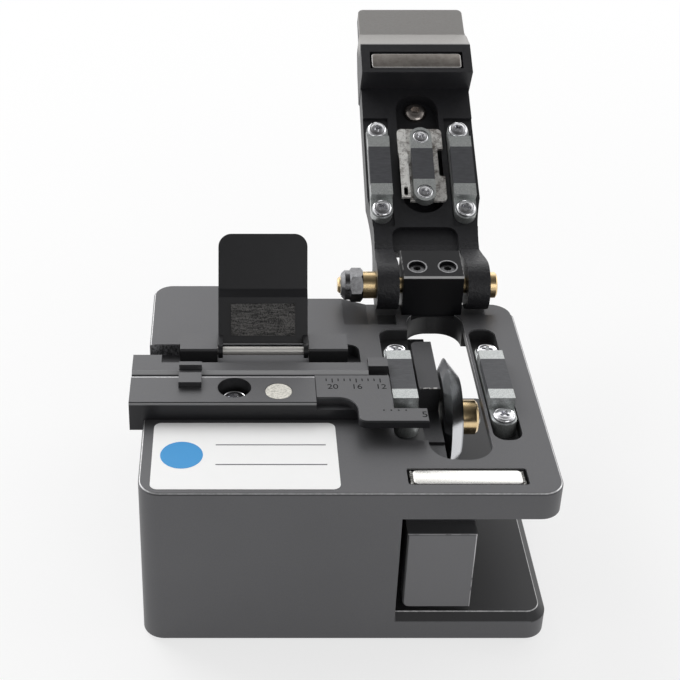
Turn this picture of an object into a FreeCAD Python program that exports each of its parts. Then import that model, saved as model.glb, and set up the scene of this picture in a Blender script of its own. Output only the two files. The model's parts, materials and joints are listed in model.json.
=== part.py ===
import FreeCAD, Part
import math
import os

# Fibre cleaver, millimetres. +X right, +Y to the rear, +Z up. The origin is the centre of the flat
# underside. Places called _x, _y and _z below are measured from the left side, the front and the top
# plate's surface of the body, and turned into the frame by X(), Y() and Z().

# ---- body ----
body_width = 66.0
body_depth = 61.0
body_height = 31.0
corner_radius = 3.5
top_plate = 5.0
base_plate = 5.5
base_chamfer = 1.3
edge_break = 0.35
foot_break = 0.6
open_side = 25.0
rear_relief_x = 21.0
rear_relief = 4.8
relief_radius = 2.0
hinge_strip_reach = 16.4
hinge_strip_width = 5.6
hinge_strip_drop = 1.3
hinge_ramp_run = 4.6
hinge_ramp_length = 9.6
hinge_ramp_width = 8.8

# ---- clamp pads and blade slot ----
clamp_offset = 10.3
clamp_share = 0.4755
pad_spacing = 16.0
pad_width = 4.2
pad_screw_spacing = 18.8
pad_block_length = 14.0
pad_gap = 0.3
pocket_depth = 2.4
pocket_extra = 4.6
base_lug = 2.6
base_pad_height = 4.8
arm_lug = 1.3
arm_pad_height = 2.9
rubber_length = 8.8
rubber_depth = 1.5
contact_gap = 0.3
slot_width = 10.2
slot_front_y = 8.4
slot_rear_gap = 3.5
slot_radius = 4.2
slot_lip = 1.6
slot_undercut = 1.2

# ---- small screws ----
screw_size = 2.0
screw_head = 3.8
screw_head_height = 0.9
screw_head_bevel = 0.4
pad_screw_reach = 2.2

# ---- magnets of the clamp ----
base_magnet_length = 17.0
base_magnet_width = 3.2
base_magnet_y = 4.3
magnet_thickness = 2.0
magnet_recess_length = 18.8
magnet_recess_width = 4.0
magnet_set_down = 0.1
arm_magnet_length = 18.0
arm_magnet_width = 3.6
magnet_room = 0.35

# ---- hinge ----
pivot_inset = 5.6
pivot_z = 3.5
bolt_size = 3.0
bolt_head = 4.8
bolt_head_length = 1.6
bolt_end = 0.7
running_gap = 0.05
hinge_block_width = 11.0
hinge_block_front = 3.1
hinge_block_rear = 5.0
hinge_block_rise = 3.5
hinge_block_slope = 8.0
hinge_block_chamfer = 0.35
set_screw_size = 3.0
set_screw_spacing = 5.6
set_screw_set_down = 0.2
nut_across = 5.5
nut_length = 3.9
nut_collar = 1.5
brass_washer_length = 1.6
plain_washer_length = 0.8
washer_size = 5.0
block_screw_spacing = 8.0
block_screw_length = 6.4

# ---- clamp arm, described closed over the body and then swung open ----
arm_open_angle = 153.0
arm_offset = 0.4
arm_width = 21.8
arm_waist = 19.8
arm_thickness = 5.0
eye_radius = 4.5
eye_width = 20.5
eye_gap = 12.5
web_end = 9.2
web_end_thickness = 3.0
web_hollow_width = 12.5
web_hollow_length = 5.0
web_hollow = 1.0
pad_rebate = 0.5
magnet_block_width = 22.2
magnet_block_front_y = 0.3
magnet_block_rear_y = 7.5
magnet_block_face_z = 0.3
lip_width = 21.6
lip_tip_y = -12.3
lip_root_y = -4.9
lip_root_z = 3.2
lip_tip_z = 3.9
lip_thickness = 2.6
lip_radius = 1.1
recess_width = 8.4
recess_front_gap = 4.6
recess_rear_gap = 9.3
recess_depth = 2.6
stop_screw_gap = 2.9
stop_screw_head = 4.6
stop_screw_head_height = 1.2

# ---- anvil between the arm's pads ----
anvil_width = 4.2
anvil_length = 17.6
anvil_screw_spacing = 13.2
anvil_height = 1.7
anvil_rubber_length = 7.4
anvil_rubber_depth = 0.9
anvil_shank = 1.8
anvil_shank_length = 3.6
anvil_shift = 0.8
leaf_thickness = 0.5
leaf_width = 8.8
leaf_length = 17.4
leaf_shift = 1.8
leaf_waist = 1.1
leaf_leg_width = 1.7
leaf_leg_rise = 0.9
leaf_loop = 3.0
leaf_loop_hole = 0.8
leaf_gap = 0.05

# ---- fibre holder on the left ----
clamp_to_groove = 1.4
channel_front = 8.3
channel_rear = 13.8
channel_end = 14.3
channel_depth = 2.2
holder_fit = 0.1
holder_overhang = 2.3
holder_depth = 11.6
holder_rise = 3.3
groove_depth = 1.0
groove_half = 0.25
groove_bevel = 0.8
holder_edge = 0.3
holder_ear_depth = 2.3
holder_ear_width = 4.9
ruler_seam = 22.9
ruler_thickness = 1.4
ruler_end_gap = 0.25
rear_member_end = 13.7
flange_front = 13.1
flange_rear = 9.5
flange_left = 16.3
flange_right = 5.0
flange_inner_radius = 3.0
flange_outer_radius = 1.3
ruler_front = 6.7
holder_screw_share = 0.528
holder_screw_front = 3.9
holder_bore = 5.6
holder_bore_depth = 3.6
holder_screw_size = 2.5
holder_screw_head = 4.5
holder_screw_head_height = 1.6
holder_screw_length = 8.0
holder_magnet_share = 0.785
holder_magnet_front = 4.9
holder_magnet_size = 4.5
clip_share = 0.268
clip_width = 3.8
clip_front = 3.9
clip_rear = 2.1
clip_rise = 1.1
clip_bridge = 0.3
clip_saddle = 0.9
stop_rear = 4.2
stop_front = 0.3
stop_step = 1.0
stop_rise = 0.5

# ---- small lid ----
lid_side_left = 6.6
lid_side_right = 6.8
lid_pivot_rear = 8.7
lid_pivot_z = 2.1
lid_open_angle = 120.0
lid_pin = 1.5
lid_pin_grip = 1.8
lid_ear = 0.8
lid_ear_radius = 1.3
lid_tip_front = 11.6
lid_bend_front = 0.6
lid_bend_length = 1.3
lid_face_z = 3.9
lid_frame = 1.4
lid_tab_rise = 0.7
lid_tab = 1.2
lid_radius = 2.3
lid_rear_gap = 1.1
foam_front = 0.6
foam_rear = 6.2
foam_side = 2.2
foam_set_in = 0.7
foam_proud = 0.3
hinge_lugs_left_x = 5.6
hinge_lugs_right_gap = 2.4
lugs_front = 7.5
lugs_toe = 3.4
lugs_toe_depth = 1.5
lugs_toe_height = 0.8
lugs_top_z = 3.1
lugs_notch_z = -0.7
lugs_round = 0.6

# ---- blade slider ----
slider_gap = 1.2
slider_width = 11.0
slider_front_y = 1.0
slider_rear_gap = 10.0
slider_step_y = 15.0
slider_top_gap = 0.6
slider_top_round = 1.5
slider_ride = 4.6
slider_flange = 2.4
push_block_thickness = 3.0
push_block_top_z = -9.0
push_block_gap = 1.0
push_block_round = 1.2
tower_width = 3.6
tower_front = 1.45
tower_rear = 12.85
tower_top_z = -0.5
tower_round = 1.2
shelf_front = 10.15
shelf_drop = 0.4
blade_rise = 2.6
blade_floor_gap = 0.7
blade_rear = 2.55
blade_left = 1.0
blade_right = 2.3
blade_bevel_left = 2.1
blade_bevel_right = 2.9
blade_side_gap = 0.3
axle_size = 4.0
axle_thread = 3.0
axle_root = 3.0
axle_root_length = 6.0
axle_collar = 6.0
blade_nut_size = 6.0
blade_nut_length = 3.3
blade_nut_chamfer = 0.4
axle_end = 0.4
rail_width = 4.5
rail_height = 3.0
rail_front_y = 14.5
rail_rear_gap = 3.0
rail_screw_pitch = 14.0
rail_screws = 3
carriage_length = 20.0
carriage_front = 3.1
carriage_side = 0.2
carriage_floor_gap = 0.6
slider_screw_size = 1.6
slider_screw_head = 2.4
slider_screw_head_height = 0.8
slider_screw_inset = 2.0
slider_screw_grip = 1.6
counterbore = 0.1


def X(x):
    return x - body_width / 2


def Y(y):
    return y - body_depth / 2


def Z(z):
    return z + body_height


def box(x0, x1, y0, y1, z0, z1):
    """A block between places measured from the left side, the front and the plate's surface."""
    corner = FreeCAD.Vector(X(x0), Y(y0), Z(z0))
    return Part.makeBox(x1 - x0, y1 - y0, z1 - z0, corner)


def rod_x(x0, x1, y, z, radius):
    base = FreeCAD.Vector(X(x0), Y(y), Z(z))
    return Part.makeCylinder(radius, x1 - x0, base, FreeCAD.Vector(1, 0, 0))


def rod_y(y0, y1, x, z, radius):
    base = FreeCAD.Vector(X(x), Y(y0), Z(z))
    return Part.makeCylinder(radius, y1 - y0, base, FreeCAD.Vector(0, 1, 0))


def rod_z(z0, z1, x, y, radius):
    return Part.makeCylinder(radius, z1 - z0, FreeCAD.Vector(X(x), Y(y), Z(z0)))


def upright(shape, keep):
    """The vertical edges of a prism whose middle passes the test keep(x, y) in the frame."""
    found = []
    for edge in shape.Edges:
        ends = [vertex.Point for vertex in edge.Vertexes]
        if len(ends) == 2 and abs(ends[0].z - ends[1].z) > 1e-6:
            straight = abs(ends[0].x - ends[1].x) < 1e-6 and abs(ends[0].y - ends[1].y) < 1e-6
            if straight and keep(ends[0].x, ends[0].y):
                found.append(edge)
    return found


def rounded_box(x0, x1, y0, y1, z0, z1, radius):
    """A block with its four upright edges rounded."""
    block = box(x0, x1, y0, y1, z0, z1)
    return block.makeFillet(radius, upright(block, lambda x, y: True))


def obround(x, y, width, length, z0, z1):
    """An upright slot shape of the full length, long along Y."""
    half = (length - width) / 2
    body = box(x - width / 2, x + width / 2, y - half, y + half, z0, z1)
    for end in (-half, half):
        body = body.fuse(rod_z(z0, z1, x, y + end, width / 2))
    return body.removeSplitter()


def side_profile(edges, x0, x1):
    """A closed outline of edges in the YZ plane through x0, pushed out to x1."""
    face = Part.Face(Part.Wire(Part.__sortEdges__(edges)))
    return face.extrude(FreeCAD.Vector(x1 - x0, 0, 0))


def side_polygon(points, x0, x1):
    """A prism along X from corner places (y, z)."""
    corners = [FreeCAD.Vector(X(x0), Y(y), Z(z)) for y, z in points]
    face = Part.Face(Part.makePolygon(corners + corners[:1]))
    return face.extrude(FreeCAD.Vector(x1 - x0, 0, 0))


def front_polygon(points, y0, y1):
    """A prism along Y from corner places (x, z)."""
    corners = [FreeCAD.Vector(X(x), Y(y0), Z(z)) for x, z in points]
    face = Part.Face(Part.makePolygon(corners + corners[:1]))
    return face.extrude(FreeCAD.Vector(0, y1 - y0, 0))


def turned(points, y, z):
    """A solid turned about the line along X through (y, z), from places (x, radius)."""
    corners = [FreeCAD.Vector(X(x), Y(y), Z(z) + radius) for x, radius in points]
    face = Part.Face(Part.makePolygon(corners + corners[:1]))
    return face.revolve(FreeCAD.Vector(0, Y(y), Z(z)), FreeCAD.Vector(1, 0, 0), 360)


def screw_down(x, y, z, reach, size=screw_size, head=screw_head, rise=screw_head_height):
    """A pan head screw pointing down, whose head sits on the level z."""
    top = rod_z(z, z + rise, x, y, head / 2)
    rim = [edge for edge in top.Edges if abs(edge.BoundBox.ZMin - Z(z + rise)) < 1e-6]
    top = top.makeChamfer(min(screw_head_bevel, rise * 0.5), rim)
    return top.fuse(rod_z(z - reach, z, x, y, size / 2)).removeSplitter()


def screw_up(x, y, z, reach, size=screw_size, head=screw_head, rise=screw_head_height):
    """The same screw pointing up, its head under the level z."""
    screw = screw_down(x, y, z, reach, size, head, rise)
    return screw.mirror(FreeCAD.Vector(X(x), Y(y), Z(z)), FreeCAD.Vector(0, 0, 1))


def swing_arm(shape):
    """Takes a piece of the clamp arm from closed to the open rest pose."""
    shape = shape.copy()
    shape.rotate(FreeCAD.Vector(0, Y(pivot_y), Z(pivot_z)), FreeCAD.Vector(1, 0, 0), -arm_open_angle)
    return shape


def swing_lid(shape):
    """Takes a piece of the small lid from closed to the open rest pose."""
    shape = shape.copy()
    place = FreeCAD.Vector(0, Y(lid_pivot_y), Z(lid_pivot_z))
    shape.rotate(place, FreeCAD.Vector(1, 0, 0), -lid_open_angle)
    return shape


# Places that several pieces share
left_block_width = body_width - open_side
clamp_x = left_block_width + clamp_offset
arm_x = clamp_x + arm_offset
pivot_y = body_depth - pivot_inset
clamp_y = base_magnet_y + (pivot_y - base_magnet_y) * clamp_share
groove_y = clamp_y - clamp_to_groove
hinge_strip_x = clamp_x - hinge_strip_reach
slot_rear_y = pivot_y - slot_rear_gap
recess_front_y = base_magnet_y + recess_front_gap
recess_rear_y = clamp_y + recess_rear_gap
stop_screw_y = recess_front_y + stop_screw_gap
anvil_y = clamp_y - anvil_shift
leaf_y = clamp_y - leaf_shift
channel_front_y = groove_y - channel_front
channel_rear_y = groove_y + channel_rear
channel_end_x = clamp_x - channel_end
ruler_seam_x = clamp_x - ruler_seam
rear_member_end_x = clamp_x - rear_member_end
ruler_end_x = clamp_x - pad_spacing / 2 - pad_width / 2 - ruler_end_gap
flange_front_y = groove_y - flange_front
flange_rear_y = groove_y - flange_rear
flange_left_x = clamp_x - flange_left
flange_right_x = clamp_x - flange_right
ruler_front_y = groove_y - ruler_front
holder_screw_x = ruler_seam_x * holder_screw_share
holder_screw_y = groove_y - holder_screw_front
holder_magnet_x = ruler_seam_x * holder_magnet_share
holder_magnet_y = groove_y - holder_magnet_front
clip_x = ruler_seam_x * clip_share
clip_front_y = groove_y - clip_front
clip_rear_y = groove_y + clip_rear
stop_rear_y = groove_y + stop_rear
stop_front_y = groove_y - stop_front
hinge_lugs_right_x = channel_end_x - hinge_lugs_right_gap
lugs_front_y = groove_y + lugs_front
lid_left_x = hinge_lugs_left_x + lid_side_left
lid_right_x = hinge_lugs_right_x - lid_side_right
lid_pivot_y = groove_y + lid_pivot_rear
lid_tip_y = groove_y - lid_tip_front
lid_bend_y = groove_y - lid_bend_front
foam_front_y = groove_y + foam_front
foam_rear_y = groove_y + foam_rear
pad_places = {"left": clamp_x - pad_spacing / 2, "right": clamp_x + pad_spacing / 2}
pad_length = pad_screw_spacing + pad_width
pad_screw_ys = (clamp_y - pad_screw_spacing / 2, clamp_y + pad_screw_spacing / 2)
pocket_floor_z = -pocket_depth
base_lug_top_z = pocket_floor_z + base_lug
base_pad_top_z = pocket_floor_z + base_pad_height
arm_contact_z = base_pad_top_z + contact_gap
arm_inner_z = arm_contact_z + arm_pad_height
arm_outer_z = arm_inner_z + arm_thickness
arm_lug_z = arm_inner_z - arm_lug
arm_magnet_z = magnet_block_face_z + magnet_set_down * 2
slot_left_x = clamp_x - slot_width / 2
slot_right_x = clamp_x + slot_width / 2
recess_floor_z = arm_inner_z + recess_depth
base_top_z = base_plate - body_height
hinge_seat_z = -hinge_strip_drop
plate_rear_y = body_depth - rear_relief
hinge_block_x = clamp_x
hinge_block_top_z = pivot_z + hinge_block_rise
cheek_left_x = clamp_x - eye_width / 2
cheek_right_x = clamp_x + eye_width / 2
slider_left_x = left_block_width + slider_gap
slider_right_x = slider_left_x + slider_width
slider_top_z = -top_plate - slider_top_gap
slider_bottom_z = base_top_z + slider_ride
slider_flange_z = slider_bottom_z + slider_flange
slider_rear_y = body_depth - slider_rear_gap
push_block_bottom_z = base_top_z + push_block_gap
blade_radius = (blade_rise - slider_flange_z - blade_floor_gap) / 2
blade_z = blade_rise - blade_radius
blade_y = groove_y + blade_rear
blade_edge_x = clamp_x
blade_left_x = blade_edge_x - blade_left
blade_right_x = blade_edge_x + blade_right
tower_right_x = blade_left_x - blade_side_gap
tower_left_x = tower_right_x - tower_width
tower_front_y = blade_y - tower_front
tower_rear_y = blade_y + tower_rear
shelf_front_y = blade_y - shelf_front
nut_left_x = blade_right_x + running_gap
nut_right_x = nut_left_x + blade_nut_length
rail_x = slider_left_x + slider_width / 2
rail_top_z = base_top_z + rail_height
rail_rear_y = body_depth - rail_rear_gap
carriage_front_y = clamp_y - carriage_front
rail_screw_ys = [
    (rail_front_y + rail_rear_y) / 2 + (number - (rail_screws - 1) / 2) * rail_screw_pitch
    for number in range(rail_screws)
]
slider_screw_xs = (
    slider_left_x + (slider_width - rail_width) / 4 + carriage_side / 2,
    slider_right_x - (slider_width - rail_width) / 4 - carriage_side / 2,
)
slider_screw_ys = (carriage_front_y + slider_screw_inset, carriage_front_y + carriage_length - slider_screw_inset)
slider_screw_places = [(x, y) for x in slider_screw_xs for y in slider_screw_ys]
slider_screw_seat_z = base_top_z + carriage_floor_gap + slider_screw_head_height + counterbore
holder_front_y = channel_front_y + holder_fit
holder_rear_y = holder_front_y + holder_depth
holder_left_x = -holder_overhang
channel_floor_z = -channel_depth
ruler_seat_z = holder_rise - ruler_thickness
holder_magnet_floor_z = holder_rise - magnet_thickness
set_screw_xs = (hinge_block_x - set_screw_spacing / 2, hinge_block_x + set_screw_spacing / 2)
block_screw_xs = (hinge_block_x - block_screw_spacing / 2, hinge_block_x + block_screw_spacing / 2)
block_screw_z = (hinge_seat_z - top_plate) / 2
anvil_screw_ys = (anvil_y - anvil_screw_spacing / 2, anvil_y + anvil_screw_spacing / 2)
leaf_face_z = arm_inner_z - leaf_thickness


def body_frame():
    """The C-shaped body: solid left block, top plate and base plate, milled from one piece."""
    full = rounded_box(0, body_width, 0, body_depth, -body_height, 0, corner_radius)
    top_edges = [edge for edge in full.Edges if abs(edge.BoundBox.ZMin - Z(0)) < 1e-6]
    full = full.makeChamfer(edge_break, top_edges)
    foot_edges = [edge for edge in full.Edges if abs(edge.BoundBox.ZMax) < 1e-6]
    full = full.makeChamfer(foot_break, foot_edges)
    beyond = body_width
    gap = box(left_block_width, body_width + beyond, -beyond, body_depth + beyond, base_top_z, -top_plate)
    body = full.cut(gap)

    # the base plate's bevelled rim beside the gap
    plate = rounded_box(0, body_width, 0, body_depth, -body_height, base_top_z, corner_radius)
    rim = [edge for edge in plate.Edges if abs(edge.BoundBox.ZMin - Z(base_top_z)) < 1e-6]
    bevelled = plate.makeChamfer(base_chamfer, rim)
    waste = plate.cut(bevelled)
    waste = waste.cut(box(-beyond, left_block_width, -beyond, body_depth + beyond, -body_height, 0))
    body = body.cut(waste)

    # the rear of the plate steps forward behind the arm, and a strip for the hinge is milled down
    relief = box(rear_relief_x, body_width + beyond, plate_rear_y, body_depth + beyond, -top_plate, beyond)
    inner = upright(relief, lambda x, y: x < X(rear_relief_x) + 1e-6 and y < Y(plate_rear_y) + 1e-6)
    body = body.cut(relief.makeFillet(relief_radius, inner))
    corner_x = body_width - corner_radius
    corner_y = plate_rear_y - corner_radius
    corner = box(corner_x, body_width + beyond, corner_y, plate_rear_y + 1, -top_plate, beyond)
    body = body.cut(corner.cut(rod_z(-top_plate, beyond, corner_x, corner_y, corner_radius)))
    strip_front_y = plate_rear_y - hinge_strip_width
    ramp_right_x = hinge_strip_x + hinge_ramp_length
    strip = box(ramp_right_x, body_width + beyond, strip_front_y, plate_rear_y + beyond, hinge_seat_z, beyond)
    ramp = [
        (hinge_strip_x, 0),
        (hinge_strip_x + hinge_ramp_run, hinge_seat_z),
        (ramp_right_x, hinge_seat_z),
        (ramp_right_x, beyond),
        (hinge_strip_x, beyond),
    ]
    body = body.cut(strip).cut(front_polygon(ramp, plate_rear_y - hinge_ramp_width, plate_rear_y + beyond))

    # the slot that the blade runs in
    body = body.cut(
        rounded_box(slot_left_x, slot_right_x, slot_front_y, slot_rear_y, -top_plate, beyond, slot_radius)
    )

    # its right side is undercut for the blade's nut, which leaves a thin lip beside the pocket
    lip = [
        (slot_right_x, -slot_lip),
        (slot_right_x, -top_plate),
        (slot_right_x + slot_undercut, -top_plate),
    ]
    body = body.cut(front_polygon(lip, slot_front_y + slot_radius, slot_rear_y - slot_radius))

    # the pads' pockets; the left one opens into the slot
    half = pad_width / 2 + pad_gap
    front_y = clamp_y - pad_length / 2 - pocket_extra + 0.9
    rear_y = clamp_y + pad_length / 2 + pocket_extra + 1.2
    right = pad_places["right"]
    body = body.cut(
        rounded_box(right - half, right + half, front_y, rear_y, pocket_floor_z, beyond, half * 0.9)
    )
    left = pad_places["left"]
    body = body.cut(
        rounded_box(left - half, slot_left_x + slot_radius, front_y, rear_y, pocket_floor_z, beyond, half * 0.9)
    )
    for x in pad_places.values():
        for y in pad_screw_ys:
            body = body.cut(rod_z(-top_plate, pocket_floor_z, x, y, screw_size / 2))

    # the magnet's recess near the front edge
    body = body.cut(
        rounded_box(
            clamp_x - magnet_recess_length / 2,
            clamp_x + magnet_recess_length / 2,
            base_magnet_y - magnet_recess_width / 2,
            base_magnet_y + magnet_recess_width / 2,
            -magnet_set_down - magnet_thickness,
            beyond,
            0.5,
        )
    )

    # the channel that the fibre holder lies in, open to the left
    channel = box(-beyond, channel_end_x, channel_front_y, channel_rear_y, channel_floor_z, beyond)
    inner = upright(channel, lambda x, y: x > X(0) and y > Y(clamp_y))
    body = body.cut(channel.makeFillet(relief_radius, inner))
    bore_floor_z = holder_rise - holder_bore_depth - holder_screw_length
    body = body.cut(
        rod_z(bore_floor_z, channel_floor_z, holder_screw_x, holder_screw_y, holder_screw_size / 2)
    )

    # threads for the hinge block's screws, and the rail's screw holes from below
    for x in block_screw_xs:
        thread_y = plate_rear_y + hinge_block_rear - (plate_rear_y - pivot_y) - block_screw_length
        body = body.cut(rod_y(thread_y, plate_rear_y, x, block_screw_z, screw_size / 2))
    for y in rail_screw_ys:
        body = body.cut(rod_z(-body_height, base_top_z, rail_x, y, screw_size / 2 + 0.1))
        seat_z = -body_height + screw_head_height + 0.3
        body = body.cut(rod_z(-body_height, seat_z, rail_x, y, screw_head / 2 + counterbore))
    return body.removeSplitter()


def block_top(y):
    """The height of the hinge block's top, which leans a little towards the front."""
    return hinge_block_top_z + (y - pivot_y + hinge_block_front) * math.tan(math.radians(hinge_block_slope))


def hinge_block():
    """The block that holds the hinge bolt; it hooks over the rear edge of the plate."""
    front_y = pivot_y - hinge_block_front
    rear_y = pivot_y + hinge_block_rear
    x0 = hinge_block_x - hinge_block_width / 2
    x1 = hinge_block_x + hinge_block_width / 2
    bevel = hinge_block_chamfer
    points = [
        (front_y, hinge_seat_z),
        (front_y, block_top(front_y) - bevel),
        (front_y + bevel, block_top(front_y + bevel)),
        (rear_y - bevel, block_top(rear_y - bevel)),
        (rear_y, block_top(rear_y) - bevel),
        (rear_y, -top_plate),
        (plate_rear_y, -top_plate),
        (plate_rear_y, hinge_seat_z),
    ]
    block = side_polygon(points, x0, x1)
    block = block.cut(rod_x(x0, x1, pivot_y, pivot_z, bolt_size / 2))
    for x in set_screw_xs:
        block = block.cut(rod_z(pivot_z, block_top(rear_y), x, pivot_y, set_screw_size / 2))
    for x in block_screw_xs:
        block = block.cut(rod_y(plate_rear_y, rear_y, x, block_screw_z, screw_size / 2 + counterbore))
        seat_y = rear_y - screw_head_height - 0.3
        block = block.cut(rod_y(seat_y, rear_y, x, block_screw_z, screw_head / 2 + counterbore))
    return block


def hinge_block_screws():
    """Two screws from behind that draw the block against the plate."""
    screws = []
    seat_y = pivot_y + hinge_block_rear - screw_head_height - 0.3
    for x in block_screw_xs:
        head = rod_y(seat_y, seat_y + screw_head_height, x, block_screw_z, screw_head / 2)
        shank = rod_y(seat_y - block_screw_length + 1.4, seat_y, x, block_screw_z, screw_size / 2)
        screws.append(head.fuse(shank).removeSplitter())
    return Part.makeCompound(screws)


def hinge_set_screws():
    """Two hex socket set screws that press on the bolt from above."""
    screws = []
    top_z = block_top(pivot_y - set_screw_size / 2) - set_screw_set_down
    bolt_top_z = pivot_z + bolt_size / 2
    hexagon = set_screw_size * 0.25
    for x in set_screw_xs:
        screw = rod_z(bolt_top_z, top_z, x, pivot_y, set_screw_size / 2)
        corners = []
        for number in range(6):
            angle = math.radians(60 * number)
            place = FreeCAD.Vector(X(x) + hexagon * math.cos(angle), Y(pivot_y) + hexagon * math.sin(angle), Z(top_z))
            corners.append(place)
        socket = Part.Face(Part.makePolygon(corners + corners[:1]))
        screws.append(screw.cut(socket.extrude(FreeCAD.Vector(0, 0, -(top_z - bolt_top_z) * 0.6))))
    return Part.makeCompound(screws)


# The stack on the bolt, from the left cheek outwards
plain_washer_x = cheek_left_x - running_gap - plain_washer_length
brass_washer_x = plain_washer_x - brass_washer_length
nut_x = brass_washer_x - nut_length
bolt_head_x = cheek_right_x + running_gap


def hinge_bolt():
    """The brass bolt that the arm swings on."""
    shank = rod_x(nut_x - bolt_end, bolt_head_x, pivot_y, pivot_z, bolt_size / 2)
    tip = [edge for edge in shank.Edges if abs(edge.BoundBox.XMax - X(nut_x - bolt_end)) < 1e-6]
    shank = shank.makeChamfer(0.3, tip)
    head = rod_x(bolt_head_x, bolt_head_x + bolt_head_length, pivot_y, pivot_z, bolt_head / 2)
    rim = [edge for edge in head.Edges if edge.BoundBox.XMin > X(bolt_head_x) + 0.1 and edge.Curve.TypeId == "Part::GeomCircle"]
    head = head.makeChamfer(0.25, rim)
    return shank.fuse(head).removeSplitter()


def hinge_nut():
    """A lock nut: hexagon with a rounded collar that holds the nylon ring."""
    corners = []
    for number in range(6):
        angle = math.radians(60 * number)
        reach = nut_across / 2 / math.cos(math.radians(30))
        place = FreeCAD.Vector(
            X(nut_x + nut_collar), Y(pivot_y) + reach * math.cos(angle), Z(pivot_z) + reach * math.sin(angle)
        )
        corners.append(place)
    hexagon = Part.Face(Part.makePolygon(corners + corners[:1])).extrude(FreeCAD.Vector(nut_length - nut_collar, 0, 0))
    round_off = turned(
        [
            (nut_x + nut_collar, 0),
            (nut_x + nut_collar, nut_across / 2),
            (nut_x + nut_collar + 0.4, nut_across / 2 + 0.45),
            (nut_x + nut_length - 0.4, nut_across / 2 + 0.45),
            (nut_x + nut_length, nut_across / 2),
            (nut_x + nut_length, 0),
        ],
        pivot_y,
        pivot_z,
    )
    collar = rod_x(nut_x, nut_x + nut_collar, pivot_y, pivot_z, nut_across / 2)
    rim = [edge for edge in collar.Edges if abs(edge.BoundBox.XMax - X(nut_x)) < 1e-6]
    collar = collar.makeChamfer(0.6, rim)
    nut = hexagon.common(round_off).fuse(collar)
    return nut.cut(rod_x(nut_x, nut_x + nut_length, pivot_y, pivot_z, bolt_size / 2)).removeSplitter()


def hinge_washers():
    """A thick brass washer and a thin plain one between the nut and the arm."""
    rings = []
    for x, length in ((brass_washer_x, brass_washer_length), (plain_washer_x, plain_washer_length)):
        ring = rod_x(x, x + length, pivot_y, pivot_z, washer_size / 2)
        rings.append(ring.cut(rod_x(x, x + length, pivot_y, pivot_z, bolt_size / 2)))
    return Part.makeCompound(rings)


def clamp_pad(x, seat_z, lug, height, way):
    """A steel pad: rounded lugs for two screws and a raised block with a channel for the rubber."""
    lug_z = seat_z + way * lug
    face_z = seat_z + way * height
    channel_z = face_z - way * rubber_depth
    pad = obround(x, clamp_y, pad_width, pad_length, min(seat_z, lug_z), max(seat_z, lug_z))
    half = pad_block_length / 2
    block = box(
        x - pad_width / 2, x + pad_width / 2, clamp_y - half, clamp_y + half,
        min(seat_z, face_z), max(seat_z, face_z),
    )
    pad = pad.fuse(block).removeSplitter()
    rubber = rubber_length / 2
    pad = pad.cut(
        box(
            x - pad_width, x + pad_width, clamp_y - rubber, clamp_y + rubber,
            min(channel_z, face_z + way), max(channel_z, face_z + way),
        )
    )
    for y in pad_screw_ys:
        pad = pad.cut(rod_z(min(seat_z, lug_z), max(seat_z, lug_z), x, y, screw_size / 2 + counterbore))
    return pad


def pad_rubber(x, face_z, way):
    """The rubber block let into a pad."""
    low = min(face_z, face_z - way * rubber_depth)
    high = max(face_z, face_z - way * rubber_depth)
    half = rubber_length / 2
    return box(x - pad_width / 2, x + pad_width / 2, clamp_y - half, clamp_y + half, low, high)


def base_pad_rubbers():
    return Part.makeCompound([pad_rubber(x, base_pad_top_z, 1) for x in pad_places.values()])


def base_pad_screws():
    screws = []
    for x in pad_places.values():
        for y in pad_screw_ys:
            screws.append(screw_down(x, y, base_lug_top_z, base_lug + pad_screw_reach))
    return Part.makeCompound(screws)


def magnet_bar(y, width, length, z0, z1, x):
    bar = box(x - length / 2, x + length / 2, y - width / 2, y + width / 2, z0, z1)
    return bar.makeChamfer(0.15, bar.Edges)


def base_magnet():
    """The bar magnet that holds the arm shut."""
    high = -magnet_set_down
    return magnet_bar(base_magnet_y, base_magnet_width, base_magnet_length, high - magnet_thickness, high, clamp_x)


def fibre_holder():
    """The holder bar: a long body with the fibre groove along its top, let into the plate's channel."""
    front = holder_front_y
    rear = holder_rear_y
    top_z = holder_rise
    profile = [
        (front, channel_floor_z),
        (rear, channel_floor_z),
        (rear, top_z),
        (groove_y + groove_bevel + groove_half, top_z),
        (groove_y + groove_half, top_z - groove_bevel * 0.6),
        (groove_y, top_z - groove_depth),
        (groove_y - groove_half, top_z - holder_edge),
        (groove_y - groove_half - groove_bevel, top_z),
        (front + holder_edge, top_z),
        (front, top_z - holder_edge),
    ]
    bar = side_polygon(profile, holder_left_x, rear_member_end_x)
    # right of the seam the front member is stepped down for the scale plate
    bar = bar.cut(box(ruler_seam_x, body_width, 0, groove_y - groove_half, ruler_seat_z, top_z + 1))
    step = box(ruler_seam_x, ruler_end_x, front, groove_y - groove_half, 0, ruler_seat_z)
    bar = bar.cut(box(channel_end_x - holder_fit, body_width, 0, body_depth, channel_floor_z, 0))
    corner = box(channel_end_x - relief_radius, body_width, rear - 0.01, body_depth, channel_floor_z, 0)
    bar = bar.cut(corner).fuse(step)
    # a small ear behind the overhanging left end
    ear = box(holder_left_x, holder_left_x + holder_ear_width, rear, rear + holder_ear_depth, channel_floor_z, top_z)
    bar = bar.fuse(ear).removeSplitter()
    bore_z = top_z - holder_bore_depth
    bar = bar.cut(rod_z(bore_z, top_z + 1, holder_screw_x, holder_screw_y, holder_bore / 2))
    bar = bar.cut(
        rod_z(channel_floor_z, bore_z, holder_screw_x, holder_screw_y, holder_screw_size / 2 + counterbore)
    )
    pocket = rod_z(holder_magnet_floor_z, top_z + 1, holder_magnet_x, holder_magnet_y, holder_magnet_size / 2)
    return bar.cut(pocket).removeSplitter()


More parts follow.
